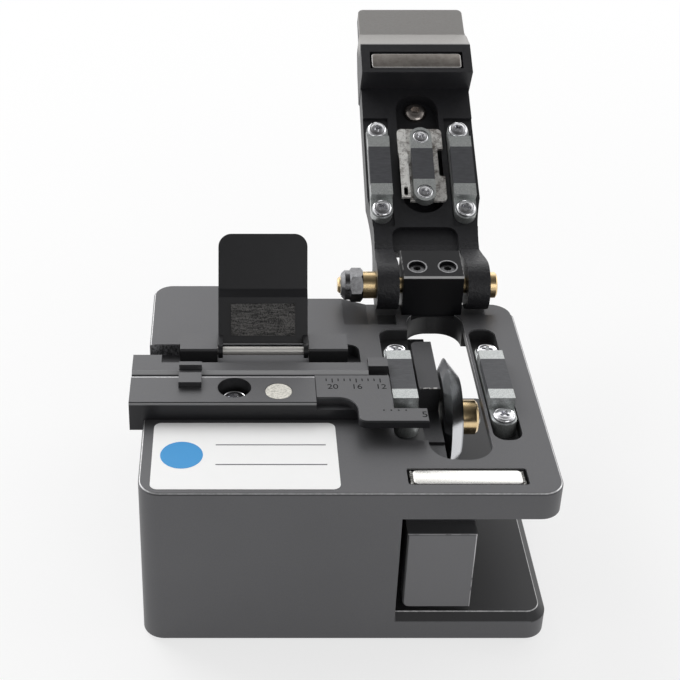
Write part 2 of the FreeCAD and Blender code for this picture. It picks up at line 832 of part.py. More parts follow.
def ruler_plate():
    """The scale plate: it starts at the seam and widens into a flange in front of the left pad."""
    def place(x, y):
        return FreeCAD.Vector(X(x), Y(y), Z(ruler_seat_z))

    bend = math.sqrt(0.5)
    inner = flange_inner_radius
    outer = flange_outer_radius
    rear_y = groove_y - groove_half
    inner_x = flange_left_x - inner
    inner_y = ruler_front_y - inner
    outer_x = flange_left_x + outer
    outer_y = flange_front_y + outer
    points = [
        place(ruler_seam_x, rear_y),
        place(ruler_end_x, rear_y),
        place(ruler_end_x, flange_rear_y),
        place(flange_right_x, flange_rear_y),
        place(flange_right_x, flange_front_y),
        place(outer_x, flange_front_y),
    ]
    edges = [Part.LineSegment(a, b).toShape() for a, b in zip(points, points[1:])]
    edges.append(
        Part.Arc(
            points[-1],
            place(outer_x - outer * bend, outer_y - outer * bend),
            place(flange_left_x, outer_y),
        ).toShape()
    )
    edges.append(Part.LineSegment(place(flange_left_x, outer_y), place(flange_left_x, inner_y)).toShape())
    edges.append(
        Part.Arc(
            place(flange_left_x, inner_y),
            place(inner_x + inner * bend, inner_y + inner * bend),
            place(inner_x, ruler_front_y),
        ).toShape()
    )
    edges.append(Part.LineSegment(place(inner_x, ruler_front_y), place(ruler_seam_x, ruler_front_y)).toShape())
    edges.append(Part.LineSegment(place(ruler_seam_x, ruler_front_y), points[0]).toShape())
    plate = Part.Face(Part.Wire(edges)).extrude(FreeCAD.Vector(0, 0, ruler_thickness))
    rim = [edge for edge in plate.Edges if abs(edge.BoundBox.ZMin - Z(holder_rise)) < 1e-6]
    return plate.makeChamfer(0.15, rim)


def holder_screw():
    """The screw at the bottom of the holder's counterbore."""
    seat_z = holder_rise - holder_bore_depth
    return screw_down(
        holder_screw_x, holder_screw_y, seat_z, holder_screw_length,
        holder_screw_size, holder_screw_head, holder_screw_head_height,
    )


def holder_magnet():
    """The disc magnet that pulls the small lid down."""
    disc = rod_z(holder_magnet_floor_z, holder_rise, holder_magnet_x, holder_magnet_y, holder_magnet_size / 2)
    rim = [edge for edge in disc.Edges if abs(edge.BoundBox.ZMin - Z(holder_rise)) < 1e-6]
    return disc.makeChamfer(0.12, rim)


def fibre_guide_clip():
    """A small saddle across the groove that guides the fibre."""
    low = holder_rise
    points = [
        (clip_front_y, low),
        (clip_front_y, low + clip_rise),
        (groove_y - clip_saddle - 0.2, low + clip_rise),
        (groove_y - clip_saddle, low + clip_bridge),
        (groove_y + clip_saddle, low + clip_bridge),
        (groove_y + clip_saddle + 0.2, low + clip_rise),
        (clip_rear_y, low + clip_rise),
        (clip_rear_y, low),
    ]
    return side_polygon(points, clip_x - clip_width / 2, clip_x + clip_width / 2)


def fibre_stop():
    """A stepped block between the holder bar and the left pad."""
    x1 = ruler_end_x
    low_z = holder_rise - stop_step
    points = [
        (stop_front_y + holder_fit, 0),
        (stop_front_y + holder_fit, low_z - stop_step * 0.6),
        (groove_y + groove_bevel, low_z),
        (groove_y + groove_bevel * 2, low_z),
        (groove_y + groove_bevel * 2, holder_rise + stop_rise),
        (stop_rear_y, holder_rise + stop_rise),
        (stop_rear_y, 0),
    ]
    return side_polygon(points, rear_member_end_x, x1)


def lid_hinge_block():
    """Two lugs on one foot that hold the small lid's pin."""
    rear_y = channel_rear_y - holder_fit
    points = [
        (lugs_front_y, channel_floor_z),
        (lugs_front_y, lugs_top_z - lugs_round * 0.5),
        (lugs_front_y + lugs_round * 0.5, lugs_top_z),
        (rear_y - lugs_round * 2, lugs_top_z),
        (rear_y, lugs_top_z - lugs_round * 2),
        (rear_y, channel_floor_z),
    ]
    block = side_polygon(points, hinge_lugs_left_x, hinge_lugs_right_x)
    notch = box(
        lid_left_x - holder_fit, lid_right_x + holder_fit,
        lugs_front_y - 1, rear_y + 1, lugs_notch_z, lugs_top_z + 1,
    )
    block = block.cut(notch)
    toe = box(
        hinge_lugs_left_x - lugs_toe, hinge_lugs_left_x, lugs_front_y, lugs_front_y + lugs_toe_depth,
        channel_floor_z, channel_floor_z + lugs_toe_height,
    )
    block = block.fuse(toe).removeSplitter()
    pin_hole = rod_x(lid_left_x - lid_pin_grip, lid_right_x + lid_pin_grip, lid_pivot_y, lid_pivot_z, lid_pin / 2)
    return block.cut(pin_hole)


def lid_hinge_pin():
    """The steel pin of the small lid, held in the two lugs."""
    return rod_x(lid_left_x - lid_pin_grip, lid_right_x + lid_pin_grip, lid_pivot_y, lid_pivot_z, lid_pin / 2)


def holder_lid():
    """The small lid: a frame for the foam, a bend and a finger tab, with two ears on the pin."""
    low = lid_face_z
    rear_y = lid_pivot_y - lid_rear_gap
    tab_z = low + lid_tab_rise
    points = [
        (rear_y, low),
        (rear_y, low + lid_frame),
        (lid_bend_y, low + lid_frame),
        (lid_bend_y - lid_bend_length, tab_z + lid_tab),
        (lid_tip_y, tab_z + lid_tab),
        (lid_tip_y, tab_z),
        (lid_bend_y - lid_bend_length, tab_z),
        (lid_bend_y, low),
    ]
    lid = side_polygon(points, lid_left_x, lid_right_x)
    corners = upright(lid, lambda x, y: abs(y - Y(lid_tip_y)) < 1e-6)
    lid = lid.makeFillet(lid_radius, corners)
    bend = []
    for edge in lid.Edges:
        middle = edge.BoundBox.Center.y
        across = edge.BoundBox.XLength > 1 and edge.BoundBox.YLength < 1e-6
        if across and Y(lid_bend_y - lid_bend_length) - 1e-6 < middle < Y(lid_bend_y) + 1e-6:
            bend.append(edge)
    lid = lid.makeFillet(lid_bend_length * 0.45, bend)
    recess = box(
        lid_left_x + foam_side, lid_right_x - foam_side, foam_front_y, foam_rear_y, low, low + foam_set_in
    )
    lid = lid.cut(recess)
    ear_y = lid_pivot_y - lid_ear_radius
    for x0 in (lid_left_x, lid_right_x - lid_ear):
        ear = rod_x(x0, x0 + lid_ear, lid_pivot_y, lid_pivot_z, lid_ear_radius)
        reach = side_polygon(
            [
                (ear_y, lid_pivot_z),
                (rear_y - 1.5, low),
                (rear_y - 1.5, low + lid_frame),
                (rear_y + 0.6, low + lid_frame),
                (lid_pivot_y + lid_ear_radius, lid_pivot_z),
            ],
            x0,
            x0 + lid_ear,
        )
        ear = ear.fuse(reach)
        lid = lid.fuse(ear)
    bore = rod_x(lid_left_x, lid_right_x, lid_pivot_y, lid_pivot_z, lid_pin / 2 + running_gap)
    return swing_lid(lid.cut(bore).removeSplitter())


def lid_foam_pad():
    """The foam that presses the fibre into the groove."""
    low = lid_face_z - foam_proud
    high = lid_face_z + foam_set_in
    pad = box(lid_left_x + foam_side, lid_right_x - foam_side, foam_front_y, foam_rear_y, low, high)
    return swing_lid(pad)


def arm_blank():
    """The arm's side outline pushed across: eye, flat arm, magnet block and finger lip."""
    def place(y, z):
        return FreeCAD.Vector(X(arm_x) - magnet_block_width / 2, Y(y), Z(z))

    def touch(y, z, side):
        """Where the line from (y, z) touches the eye, on its upper or lower side."""
        dy = pivot_y - y
        dz = pivot_z - z
        reach = math.hypot(dy, dz)
        aim = math.atan2(dz, dy) + side * math.asin(eye_radius / reach)
        run = math.sqrt(reach**2 - eye_radius**2)
        return y + run * math.cos(aim), z + run * math.sin(aim)

    rise_y = pivot_y - web_end
    low_y, low_z = touch(rise_y, arm_inner_z, -1)
    high_y, high_z = touch(rise_y, arm_outer_z, 1)
    nose = [
        (high_y, high_z),
        (rise_y, arm_outer_z),
        (magnet_block_rear_y, arm_outer_z),
        (magnet_block_front_y, arm_outer_z - 1.2),
        (lip_root_y, lip_root_z + lip_thickness + 1.4),
        (lip_tip_y, lip_tip_z + lip_thickness),
        (lip_tip_y, lip_tip_z),
        (lip_root_y, lip_root_z),
        (magnet_block_front_y, magnet_block_face_z),
        (magnet_block_rear_y, magnet_block_face_z),
        (magnet_block_rear_y, arm_inner_z),
        (rise_y, arm_inner_z),
        (low_y, low_z),
    ]
    places = [place(y, z) for y, z in nose]
    edges = [Part.LineSegment(a, b).toShape() for a, b in zip(places, places[1:])]
    eye = Part.Arc(places[-1], place(pivot_y + eye_radius, pivot_z), places[0]).toShape()
    return Part.Face(Part.Wire(edges + [eye])).extrude(FreeCAD.Vector(magnet_block_width, 0, 0))


def arm_plan():
    """The arm's outline from above: rounded lip, wide magnet block, waist and flared cheeks."""
    def place(x, y):
        return FreeCAD.Vector(X(arm_x + x), Y(y), Z(-body_height))

    right = [
        (lip_width / 2, lip_root_y - 0.6),
        (magnet_block_width / 2, lip_root_y + 1.2),
        (magnet_block_width / 2, magnet_block_rear_y),
        (arm_width / 2, magnet_block_rear_y + 0.4),
        (arm_width / 2, clamp_y + pad_length / 2 - 6.0),
    ]
    waist_y = pivot_y - web_end - 3.0
    eye_y = pivot_y - eye_radius
    far_y = pivot_y + eye_radius + 1.0
    edges = []
    for side in (1, -1):
        tip = [place(side * (lip_width / 2 - lip_radius), lip_tip_y), place(side * lip_width / 2, lip_tip_y + lip_radius)]
        middle = place(
            side * (lip_width / 2 - lip_radius * (1 - math.sqrt(0.5))), lip_tip_y + lip_radius * (1 - math.sqrt(0.5))
        )
        edges.append(Part.Arc(tip[0], middle, tip[1]).toShape())
        chain = [tip[1]] + [place(side * x, y) for x, y in right]
        edges += [Part.LineSegment(a, b).toShape() for a, b in zip(chain, chain[1:])]
        cheek_x = side * eye_width / 2 - arm_offset
        cheek = place(cheek_x, eye_y)
        edges.append(Part.Arc(chain[-1], place(side * arm_waist / 2 - arm_offset / 2, waist_y), cheek).toShape())
        edges.append(Part.LineSegment(cheek, place(cheek_x, far_y)).toShape())
    edges.append(
        Part.LineSegment(
            place(lip_width / 2 - lip_radius, lip_tip_y), place(-lip_width / 2 + lip_radius, lip_tip_y)
        ).toShape()
    )
    rear = [place(side * eye_width / 2 - arm_offset, far_y) for side in (1, -1)]
    edges.append(Part.LineSegment(rear[0], rear[1]).toShape())
    wire = Part.Wire(Part.__sortEdges__(edges))
    return Part.Face(wire).extrude(FreeCAD.Vector(0, 0, body_height * 2))


def clamp_arm():
    """The hinged clamp arm, milled and rounded, with two cheeks on the bolt."""
    arm = arm_blank().common(arm_plan()).removeSplitter()
    # the gap between the cheeks, for the hinge block
    web_y = pivot_y - web_end
    gap = box(clamp_x - eye_gap / 2, clamp_x + eye_gap / 2, web_y, body_depth * 2, -body_height, body_height)
    arm = arm.cut(gap)
    outer = side_polygon(
        [
            (web_y - arm_thickness + web_end_thickness, arm_outer_z + 0.01),
            (web_y, arm_inner_z + web_end_thickness),
            (web_y, arm_outer_z + 0.01),
        ],
        clamp_x - eye_gap / 2,
        clamp_x + eye_gap / 2,
    )
    arm = arm.cut(outer)
    # a hollow between the two legs, and a shallow rebate along each side for the pads
    hollow = box(
        clamp_x - web_hollow_width / 2, clamp_x + web_hollow_width / 2,
        web_y - web_hollow_length, body_depth, -body_height, arm_inner_z + web_hollow,
    )
    front = upright(hollow, lambda x, y: y < Y(web_y))
    arm = arm.cut(hollow.makeFillet(relief_radius, front))
    rebate_z = arm_inner_z + pad_rebate
    rebate_front_y = pad_screw_ys[0] - pad_width
    rebate_rear_y = pad_screw_ys[1] + pad_width * 0.7
    for x0, x1 in (
        (0, pad_places["left"] + pad_width / 2 + pad_gap),
        (pad_places["right"] - pad_width / 2 - pad_gap, body_width * 2),
    ):
        arm = arm.cut(box(x0, x1, rebate_front_y, rebate_rear_y, -body_height, rebate_z))
    arm = arm.cut(rod_x(0, body_width * 2, pivot_y, pivot_z, bolt_size / 2 + running_gap))
    # the recess behind the anvil, and its stop screw's thread
    recess_y = (recess_front_y + recess_rear_y) / 2
    arm = arm.cut(
        obround(arm_x, recess_y, recess_width, recess_rear_y - recess_front_y, arm_inner_z - 1, recess_floor_z)
    )
    arm = arm.cut(rod_z(recess_floor_z, arm_outer_z, arm_x, stop_screw_y, screw_size / 2))
    # the magnet's pocket and the pad screws' threads
    room = magnet_room
    arm = arm.cut(
        box(
            arm_x - arm_magnet_length / 2 - room, arm_x + arm_magnet_length / 2 + room,
            base_magnet_y - arm_magnet_width / 2 - room, base_magnet_y + arm_magnet_width / 2 + room,
            magnet_block_face_z - 1, arm_magnet_z + magnet_thickness,
        )
    )
    for x in pad_places.values():
        for y in pad_screw_ys:
            arm = arm.cut(rod_z(arm_inner_z, rebate_z + pad_screw_reach, x, y, screw_size / 2))
    return swing_arm(arm.removeSplitter())


def arm_pad(side):
    seat_z = arm_inner_z + pad_rebate
    return swing_arm(clamp_pad(pad_places[side], seat_z, arm_lug + pad_rebate, arm_pad_height + pad_rebate, -1))


def arm_pad_rubbers():
    return swing_arm(Part.makeCompound([pad_rubber(x, arm_contact_z, -1) for x in pad_places.values()]))


def arm_pad_screws():
    screws = []
    for x in pad_places.values():
        for y in pad_screw_ys:
            screws.append(screw_up(x, y, arm_lug_z, arm_lug + pad_rebate + pad_screw_reach))
    return swing_arm(Part.makeCompound(screws))


def arm_magnet():
    low = arm_magnet_z
    return swing_arm(
        magnet_bar(base_magnet_y, arm_magnet_width, arm_magnet_length, low, low + magnet_thickness, arm_x)
    )


def arm_stop_screw():
    """The button head screw in the recess."""
    reach = arm_outer_z - recess_floor_z - 0.3
    return swing_arm(
        screw_up(arm_x, stop_screw_y, recess_floor_z, reach, screw_size, stop_screw_head, stop_screw_head_height)
    )


def anvil_bracket():
    """The bent steel leaf that the anvil rides on, with a waist and a raised leg that ends in a loop."""
    x0 = arm_x - leaf_width / 2
    x1 = arm_x + leaf_width / 2
    y0 = leaf_y - leaf_length / 2
    y1 = leaf_y + leaf_length / 2
    leaf = rounded_box(x0, x1, y0, y1, leaf_face_z, arm_inner_z, 0.9)
    # the leaf is narrower beside the anvil's rubber, and ends in an ear on the right
    waist_y = y0 + leaf_length * 0.28
    ear_y = y1 - leaf_length * 0.34
    notch = rounded_box(x1 - leaf_waist, x1 + 2, waist_y, ear_y, leaf_face_z - 1, arm_inner_z + 1, 0.5)
    side = rounded_box(x0 - 2, x0 + leaf_leg_width, waist_y, y1 + 2, leaf_face_z - 1, arm_inner_z + 1, 0.5)
    leaf = leaf.cut(notch).cut(side)
    # the leg leaves the leaf at its waist, rises a little and ends in the loop
    leg_y = y1 - leaf_loop - 0.3
    high_z = leaf_face_z - leaf_leg_rise
    points = [
        (waist_y - 0.6, leaf_face_z),
        (waist_y - 0.6, arm_inner_z),
        (waist_y + 1.2, arm_inner_z),
        (waist_y + 2.6, high_z + leaf_thickness),
        (leg_y + leaf_loop, high_z + leaf_thickness),
        (leg_y + leaf_loop, high_z),
        (waist_y + 2.2, high_z),
        (waist_y + 0.8, leaf_face_z),
    ]
    leg = side_polygon(points, x0, x0 + leaf_leg_width)
    hole = rounded_box(
        x0 + (leaf_leg_width - leaf_loop_hole) / 2, x0 + (leaf_leg_width + leaf_loop_hole) / 2,
        leg_y + 0.5, leg_y + leaf_loop - 0.5, high_z - 1, arm_inner_z + 1, leaf_loop_hole * 0.4,
    )
    leaf = leaf.fuse(leg.cut(hole))
    for y in anvil_screw_ys:
        leaf = leaf.cut(rod_z(leaf_face_z - 1, arm_inner_z, arm_x, y, anvil_shank / 2 + running_gap))
    return swing_arm(leaf.removeSplitter())


# The anvil is drawn back against its leaf when the arm stands open
anvil_back_z = leaf_face_z - leaf_gap
anvil_face_z = anvil_back_z - anvil_height


def anvil_block():
    """The anvil's steel carrier."""
    block = obround(arm_x, anvil_y, anvil_width, anvil_length, anvil_face_z, anvil_back_z)
    half = anvil_rubber_length / 2
    rubber = box(
        arm_x - anvil_width, arm_x + anvil_width, anvil_y - half, anvil_y + half,
        anvil_face_z - 1, anvil_face_z + anvil_rubber_depth,
    )
    block = block.cut(rubber)
    for y in anvil_screw_ys:
        block = block.cut(rod_z(anvil_face_z, anvil_back_z, arm_x, y, anvil_shank / 2))
        seat = rod_z(anvil_face_z, anvil_face_z + 0.7, arm_x, y, screw_head / 2 - 0.3)
        block = block.cut(seat)
    return swing_arm(block)


def anvil_rubber():
    half = anvil_rubber_length / 2
    pad = box(
        arm_x - anvil_width / 2, arm_x + anvil_width / 2, anvil_y - half, anvil_y + half,
        anvil_face_z, anvil_face_z + anvil_rubber_depth,
    )
    return swing_arm(pad)


def anvil_screws():
    """Two shouldered screws that guide the anvil through the leaf."""
    screws = []
    for y in anvil_screw_ys:
        head = rod_z(anvil_face_z, anvil_face_z + 0.7, arm_x, y, screw_head / 2 - 0.3)
        shank = rod_z(anvil_face_z + 0.7, anvil_face_z + anvil_shank_length, arm_x, y, anvil_shank / 2)
        screws.append(head.fuse(shank).removeSplitter())
    return swing_arm(Part.makeCompound(screws))


def slider_body():
    """The slider: a front head behind the push block, a long left cheek beside the blade and a tower."""
    front_y = slider_front_y + push_block_thickness
    head = box(slider_left_x, slider_right_x, front_y, slider_step_y, slider_bottom_z, slider_top_z)
    rounded = [
        edge for edge in head.Edges
        if edge.BoundBox.YLength > 1 and edge.BoundBox.ZMin > Z(slider_top_z) - 1e-6
    ]
    head = head.makeFillet(slider_top_round, rounded)
    cheek = box(slider_left_x, tower_right_x, front_y, slider_rear_y, slider_bottom_z, slider_top_z)
    flange = box(slider_left_x, slider_right_x, front_y, slider_rear_y, slider_bottom_z, slider_flange_z)
    tower = box(tower_left_x, tower_right_x, tower_front_y, tower_rear_y, slider_top_z, tower_top_z)
    corner = upright(tower, lambda x, y: x < X(tower_left_x) + 1e-6 and y > Y(blade_y))
    tower = tower.makeFillet(tower_round, corner)
    shelf = box(
        tower_left_x, tower_right_x, shelf_front_y, tower_front_y + 1, slider_top_z, slider_top_z + shelf_drop
    )
    body = head.fuse(cheek).fuse(flange).fuse(tower).fuse(shelf).removeSplitter()
    # a round relief in the head for the blade
    blade_room = rod_x(tower_right_x, slider_right_x + 1, blade_y, blade_z, blade_radius + 0.5)
    body = body.cut(blade_room)
    body = body.cut(rod_x(tower_right_x - axle_root_length, tower_right_x, blade_y, blade_z, axle_root / 2))
    for x, y in slider_screw_places:
        top_z = slider_bottom_z + slider_screw_grip
        body = body.cut(rod_z(slider_bottom_z, top_z, x, y, slider_screw_size / 2))
    return body.removeSplitter()


def push_block():
    """The front face that the thumb pushes."""
    rear_y = slider_front_y + push_block_thickness
    block = box(
        slider_left_x, slider_right_x, slider_front_y, rear_y, push_block_bottom_z, push_block_top_z
    )
    lower_left = [
        edge for edge in block.Edges
        if edge.BoundBox.YLength > 1 and edge.BoundBox.ZMax < Z(push_block_bottom_z) + 1e-6
        and edge.BoundBox.XMax < X(slider_left_x) + 1e-6
    ]
    block = block.makeFillet(push_block_round, lower_left)
    rim = [edge for edge in block.Edges if edge.BoundBox.YMax < Y(slider_front_y) + 1e-6]
    return block.makeChamfer(0.25, rim)


def guide_carriage():
    """The steel carriage of the linear guide, under the slider."""
    x0 = slider_left_x + carriage_side
    x1 = slider_right_x - carriage_side
    y1 = carriage_front_y + carriage_length
    block = box(x0, x1, carriage_front_y, y1, base_top_z + carriage_floor_gap, slider_bottom_z)
    half = rail_width / 2 + running_gap
    block = block.cut(
        box(rail_x - half, rail_x + half, 0, body_depth, base_top_z, rail_top_z + running_gap)
    )
    low_z = base_top_z + carriage_floor_gap
    for x, y in slider_screw_places:
        block = block.cut(rod_z(low_z, slider_bottom_z, x, y, slider_screw_size / 2 + counterbore))
        block = block.cut(rod_z(low_z, slider_screw_seat_z, x, y, slider_screw_head / 2 + counterbore))
    return block


def guide_rail():
    """The straight rail on the base plate."""
    rail = box(rail_x - rail_width / 2, rail_x + rail_width / 2, rail_front_y, rail_rear_y, base_top_z, rail_top_z)
    rim = [edge for edge in rail.Edges if edge.BoundBox.ZMin > Z(rail_top_z) - 1e-6]
    rail = rail.makeChamfer(0.3, rim)
    for y in rail_screw_ys:
        rail = rail.cut(rod_z(base_top_z, base_top_z + rail_height * 0.7, rail_x, y, screw_size / 2))
    return rail


def guide_rail_screws():
    """The rail's screws, put in from under the base plate."""
    screws = []
    seat_z = -body_height + screw_head_height + 0.3
    for y in rail_screw_ys:
        reach = base_top_z + rail_height * 0.65 - seat_z
        screws.append(screw_up(rail_x, y, seat_z, reach))
    return Part.makeCompound(screws)


def slider_screws():
    """Four small screws from under the carriage into the slider."""
    reach = slider_bottom_z + slider_screw_grip - slider_screw_seat_z
    screws = []
    for x, y in slider_screw_places:
        screws.append(
            screw_up(
                x, y, slider_screw_seat_z, reach, slider_screw_size, slider_screw_head, slider_screw_head_height
            )
        )
    return Part.makeCompound(screws)


def blade_axle():
    """A stud screwed into the slider's right side; its collar keeps the blade off the slider."""
    root = rod_x(tower_right_x - axle_root_length, tower_right_x, blade_y, blade_z, axle_root / 2)
    shank = rod_x(tower_right_x, nut_left_x, blade_y, blade_z, axle_size / 2)
    collar = rod_x(tower_right_x, blade_left_x - running_gap, blade_y, blade_z, axle_collar / 2)
    thread = rod_x(nut_left_x, nut_right_x + axle_end, blade_y, blade_z, axle_thread / 2)
    return root.fuse(shank).fuse(collar).fuse(thread).removeSplitter()


def blade_nut():
    """The round brass nut that clamps the blade."""
    bevel = blade_nut_chamfer
    radius = blade_nut_size / 2
    nut = turned(
        [
            (nut_left_x, axle_thread / 2),
            (nut_left_x, radius),
            (nut_right_x - bevel, radius),
            (nut_right_x, radius - bevel),
            (nut_right_x, axle_thread / 2),
        ],
        blade_y,
        blade_z,
    )
    return nut


def blade_disc():
    """The round blade with two long bevels that meet at the cutting edge."""
    bore = axle_size / 2 + running_gap
    return turned(
        [
            (blade_left_x, bore),
            (blade_left_x, blade_radius - blade_bevel_left),
            (blade_edge_x, blade_radius),
            (blade_right_x, blade_radius - blade_bevel_right),
            (blade_right_x, bore),
        ],
        blade_y,
        blade_z,
    )


def base_pad(side):
    return clamp_pad(pad_places[side], pocket_floor_z, base_lug, base_pad_height, 1)


pieces = {
    "body_frame": body_frame(),
    "hinge_block": hinge_block(),
    "hinge_block_screws": hinge_block_screws(),
    "hinge_set_screws": hinge_set_screws(),
    "hinge_bolt": hinge_bolt(),
    "hinge_nut": hinge_nut(),
    "hinge_washers": hinge_washers(),
    "base_pad_left": base_pad("left"),
    "base_pad_right": base_pad("right"),
    "base_pad_rubbers": base_pad_rubbers(),
    "base_pad_screws": base_pad_screws(),
    "base_magnet": base_magnet(),
    "fibre_holder": fibre_holder(),
    "ruler_plate": ruler_plate(),
    "holder_screw": holder_screw(),
    "holder_magnet": holder_magnet(),
    "fibre_guide_clip": fibre_guide_clip(),
    "fibre_stop": fibre_stop(),
    "lid_hinge_block": lid_hinge_block(),
    "lid_hinge_pin": lid_hinge_pin(),
    "guide_rail": guide_rail(),
    "guide_rail_screws": guide_rail_screws(),
    "holder_lid": holder_lid(),
    "lid_foam_pad": lid_foam_pad(),
    "clamp_arm": clamp_arm(),
    "arm_pad_left": arm_pad("left"),
    "arm_pad_right": arm_pad("right"),
    "arm_pad_rubbers": arm_pad_rubbers(),
    "arm_pad_screws": arm_pad_screws(),
    "arm_magnet": arm_magnet(),
    "arm_stop_screw": arm_stop_screw(),
    "anvil_bracket": anvil_bracket(),
    "anvil_block": anvil_block(),
    "anvil_rubber": anvil_rubber(),
    "anvil_screws": anvil_screws(),
    "slider_body": slider_body(),
    "push_block": push_block(),
    "guide_carriage": guide_carriage(),
    "slider_screws": slider_screws(),
    "blade_axle": blade_axle(),
    "blade_nut": blade_nut(),
    "blade_disc": blade_disc(),
}

os.makedirs("parts", exist_ok=True)
for name, shape in pieces.items():
    if not shape.isValid():
        raise RuntimeError(name + " is not a valid solid")
    shape.exportStep("parts/" + name + ".step")
    print(name, "solids", len(shape.Solids), "volume", round(shape.Volume, 2))
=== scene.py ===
import itertools
import json
import math
import bmesh
import bpy
from mathutils import Matrix, Vector, noise


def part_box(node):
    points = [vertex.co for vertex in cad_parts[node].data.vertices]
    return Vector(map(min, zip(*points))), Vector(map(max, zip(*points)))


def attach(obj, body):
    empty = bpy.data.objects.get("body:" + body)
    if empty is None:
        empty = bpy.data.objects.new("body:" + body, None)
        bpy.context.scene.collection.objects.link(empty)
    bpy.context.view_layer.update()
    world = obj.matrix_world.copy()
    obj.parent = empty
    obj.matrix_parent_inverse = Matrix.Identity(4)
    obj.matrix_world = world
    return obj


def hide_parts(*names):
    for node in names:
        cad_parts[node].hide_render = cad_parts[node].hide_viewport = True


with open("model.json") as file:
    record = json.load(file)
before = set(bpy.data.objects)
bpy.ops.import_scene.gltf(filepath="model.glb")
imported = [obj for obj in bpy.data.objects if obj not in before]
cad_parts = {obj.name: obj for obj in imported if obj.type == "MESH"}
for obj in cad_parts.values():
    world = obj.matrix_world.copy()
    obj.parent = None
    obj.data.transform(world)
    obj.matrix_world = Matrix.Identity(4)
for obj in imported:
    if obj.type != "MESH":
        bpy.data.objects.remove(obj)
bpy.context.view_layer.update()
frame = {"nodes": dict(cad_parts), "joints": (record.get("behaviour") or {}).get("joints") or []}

# ---------------------------------------------------------------------------------------------
# Body: one C-shaped block of milled aluminium, blasted and anodised dark grey. Its edges are
# broken by a thin chamfer that shows brighter than the faces. Everything else is fixed to it.
body_low, body_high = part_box("body_frame")


def on_plate(x, y, z=0.0):
    """A place in millimetres from the body's left side, front face and plate surface."""
    return Vector((body_low.x + x / 1000, body_low.y + y / 1000, body_high.z + z / 1000))


class Shade:
    """A shader socket that takes part in plain arithmetic and can add further nodes."""

    def __init__(self, tree, socket=None):
        self.tree = tree
        self.socket = socket

    def node(self, kind, settings=None, values=None, output=0):
        made = self.tree.nodes.new("ShaderNode" + kind)
        for name, value in (settings or {}).items():
            setattr(made, name, value)
        for name, value in (values or {}).items():
            if isinstance(value, Shade):
                self.tree.links.new(value.socket, made.inputs[name])
            else:
                made.inputs[name].default_value = value
        return Shade(self.tree, made.outputs[output])

    def math(self, operation, first, second=0.0):
        return self.node("Math", {"operation": operation}, {0: first, 1: second})

    def __add__(self, other):
        return self.math("ADD", self, other)

    def __radd__(self, other):
        return self.math("ADD", other, self)

    def __sub__(self, other):
        return self.math("SUBTRACT", self, other)

    def __rsub__(self, other):
        return self.math("SUBTRACT", other, self)

    def __mul__(self, other):
        return self.math("MULTIPLY", self, other)

    def __gt__(self, other):
        return self.math("GREATER_THAN", self, other)

    def __lt__(self, other):
        return self.math("LESS_THAN", self, other)

    def axis(self, letter):
        return self.node("SeparateXYZ", {}, {0: self}, "XYZ".index(letter))

    def from_axle(self, centre):
        """How far this place is from an axle that runs along X through centre."""
        across = self.axis("Y") - centre.y
        up = self.axis("Z") - centre.z
        return self.math("SQRT", across * across + up * up)

    def capped(self):
        return self.math("MINIMUM", self, 1.0)

    def soft_step(self, low, high):
        """0 below low, 1 above high and a smooth ramp between."""
        settings = {"interpolation_type": "SMOOTHSTEP"}
        return self.node("MapRange", settings, {"Value": self, "From Min": low, "From Max": high})

    def band(self, low, high, soft):
        """1 between low and high, with ends that ramp over twice soft."""
        rise = self.soft_step(low - soft, low + soft)
        return rise * (1 - self.soft_step(high - soft, high + soft))

    def noise(self, scale, detail=2.0, rough=0.5, stretch=(1, 1, 1)):
        place = self.node("Mapping", {}, {"Vector": self, "Scale": stretch})
        values = {"Vector": place, "Scale": scale, "Detail": detail, "Roughness": rough}
        return self.node("TexNoise", {}, values)

    def blend(self, first, second):
        """The first colour where this mask is 0 and the second where it is 1."""
        ends = [end if isinstance(end, Shade) else (*end, 1) for end in (first, second)]
        return self.node("Mix", {"data_type": "RGBA"}, {0: self, 6: ends[0], 7: ends[1]}, 2)


class Finish:
    """A material with one Principled shader, whose values are set or linked by name."""

    def __init__(self, name, colour, metallic, roughness, **plain):
        self.material = bpy.data.materials.new(name)
        self.material.use_nodes = True
        tree = self.material.node_tree
        self.shader = tree.nodes["Principled BSDF"]
        self.graph = Shade(tree)
        self.place = self.graph.node("TexCoord", output="Object")
        self.set("Base Color", (*colour, 1))
        self.set("Metallic", metallic)
        self.set("Roughness", roughness)
        for key, value in plain.items():
            self.set(key.replace("_", " "), value)

    def set(self, name, value):
        if isinstance(value, Shade):
            self.graph.tree.links.new(value.socket, self.shader.inputs[name])
        else:
            self.shader.inputs[name].default_value = value

    def bump(self, height, distance, strength=1.0):
        values = {"Strength": strength, "Distance": distance, "Height": height}
        self.set("Normal", self.graph.node("Bump", {}, values))


def dress(finish, *nodes):
    for node in nodes:
        for slot in frame["nodes"][node].material_slots:
            slot.material = finish.material


anodised = Finish("body_anodised", (0.11, 0.11, 0.115), 0.6, 0.4)
grain = anodised.place.noise(6500, 3.0, 0.6)
cloud = anodised.place.noise(45, 3.0, 0.5)
nicks = anodised.place.noise(1400, 3.0, 0.6)
height = anodised.place.axis("Z")
from_left = anodised.place.axis("X") - body_low.x
from_front = anodised.place.axis("Y") - body_low.y
base_top = body_low.z + 0.0055
mouth_left = 0.0412
slight = 0.0001

# the broken edges are rubbed bright and carry a painted highlight, but not on the ramp behind the hinge
edge_soft = 0.00002
broken_edge = height.band(body_high.z - 0.00020, body_high.z - 0.00004, edge_soft)
base_edge = height.band(base_top - 0.00015, base_top - 0.00002, edge_soft)
open_side = from_left > mouth_left
ramp = from_left.band(0.0344, 0.0402, slight) * (from_front > 0.0469)
wear_and_highlight = (broken_edge * (1 - ramp) + base_edge * open_side * 0.7) * (0.7 + nicks.soft_step(0.4, 0.62) * 0.3)
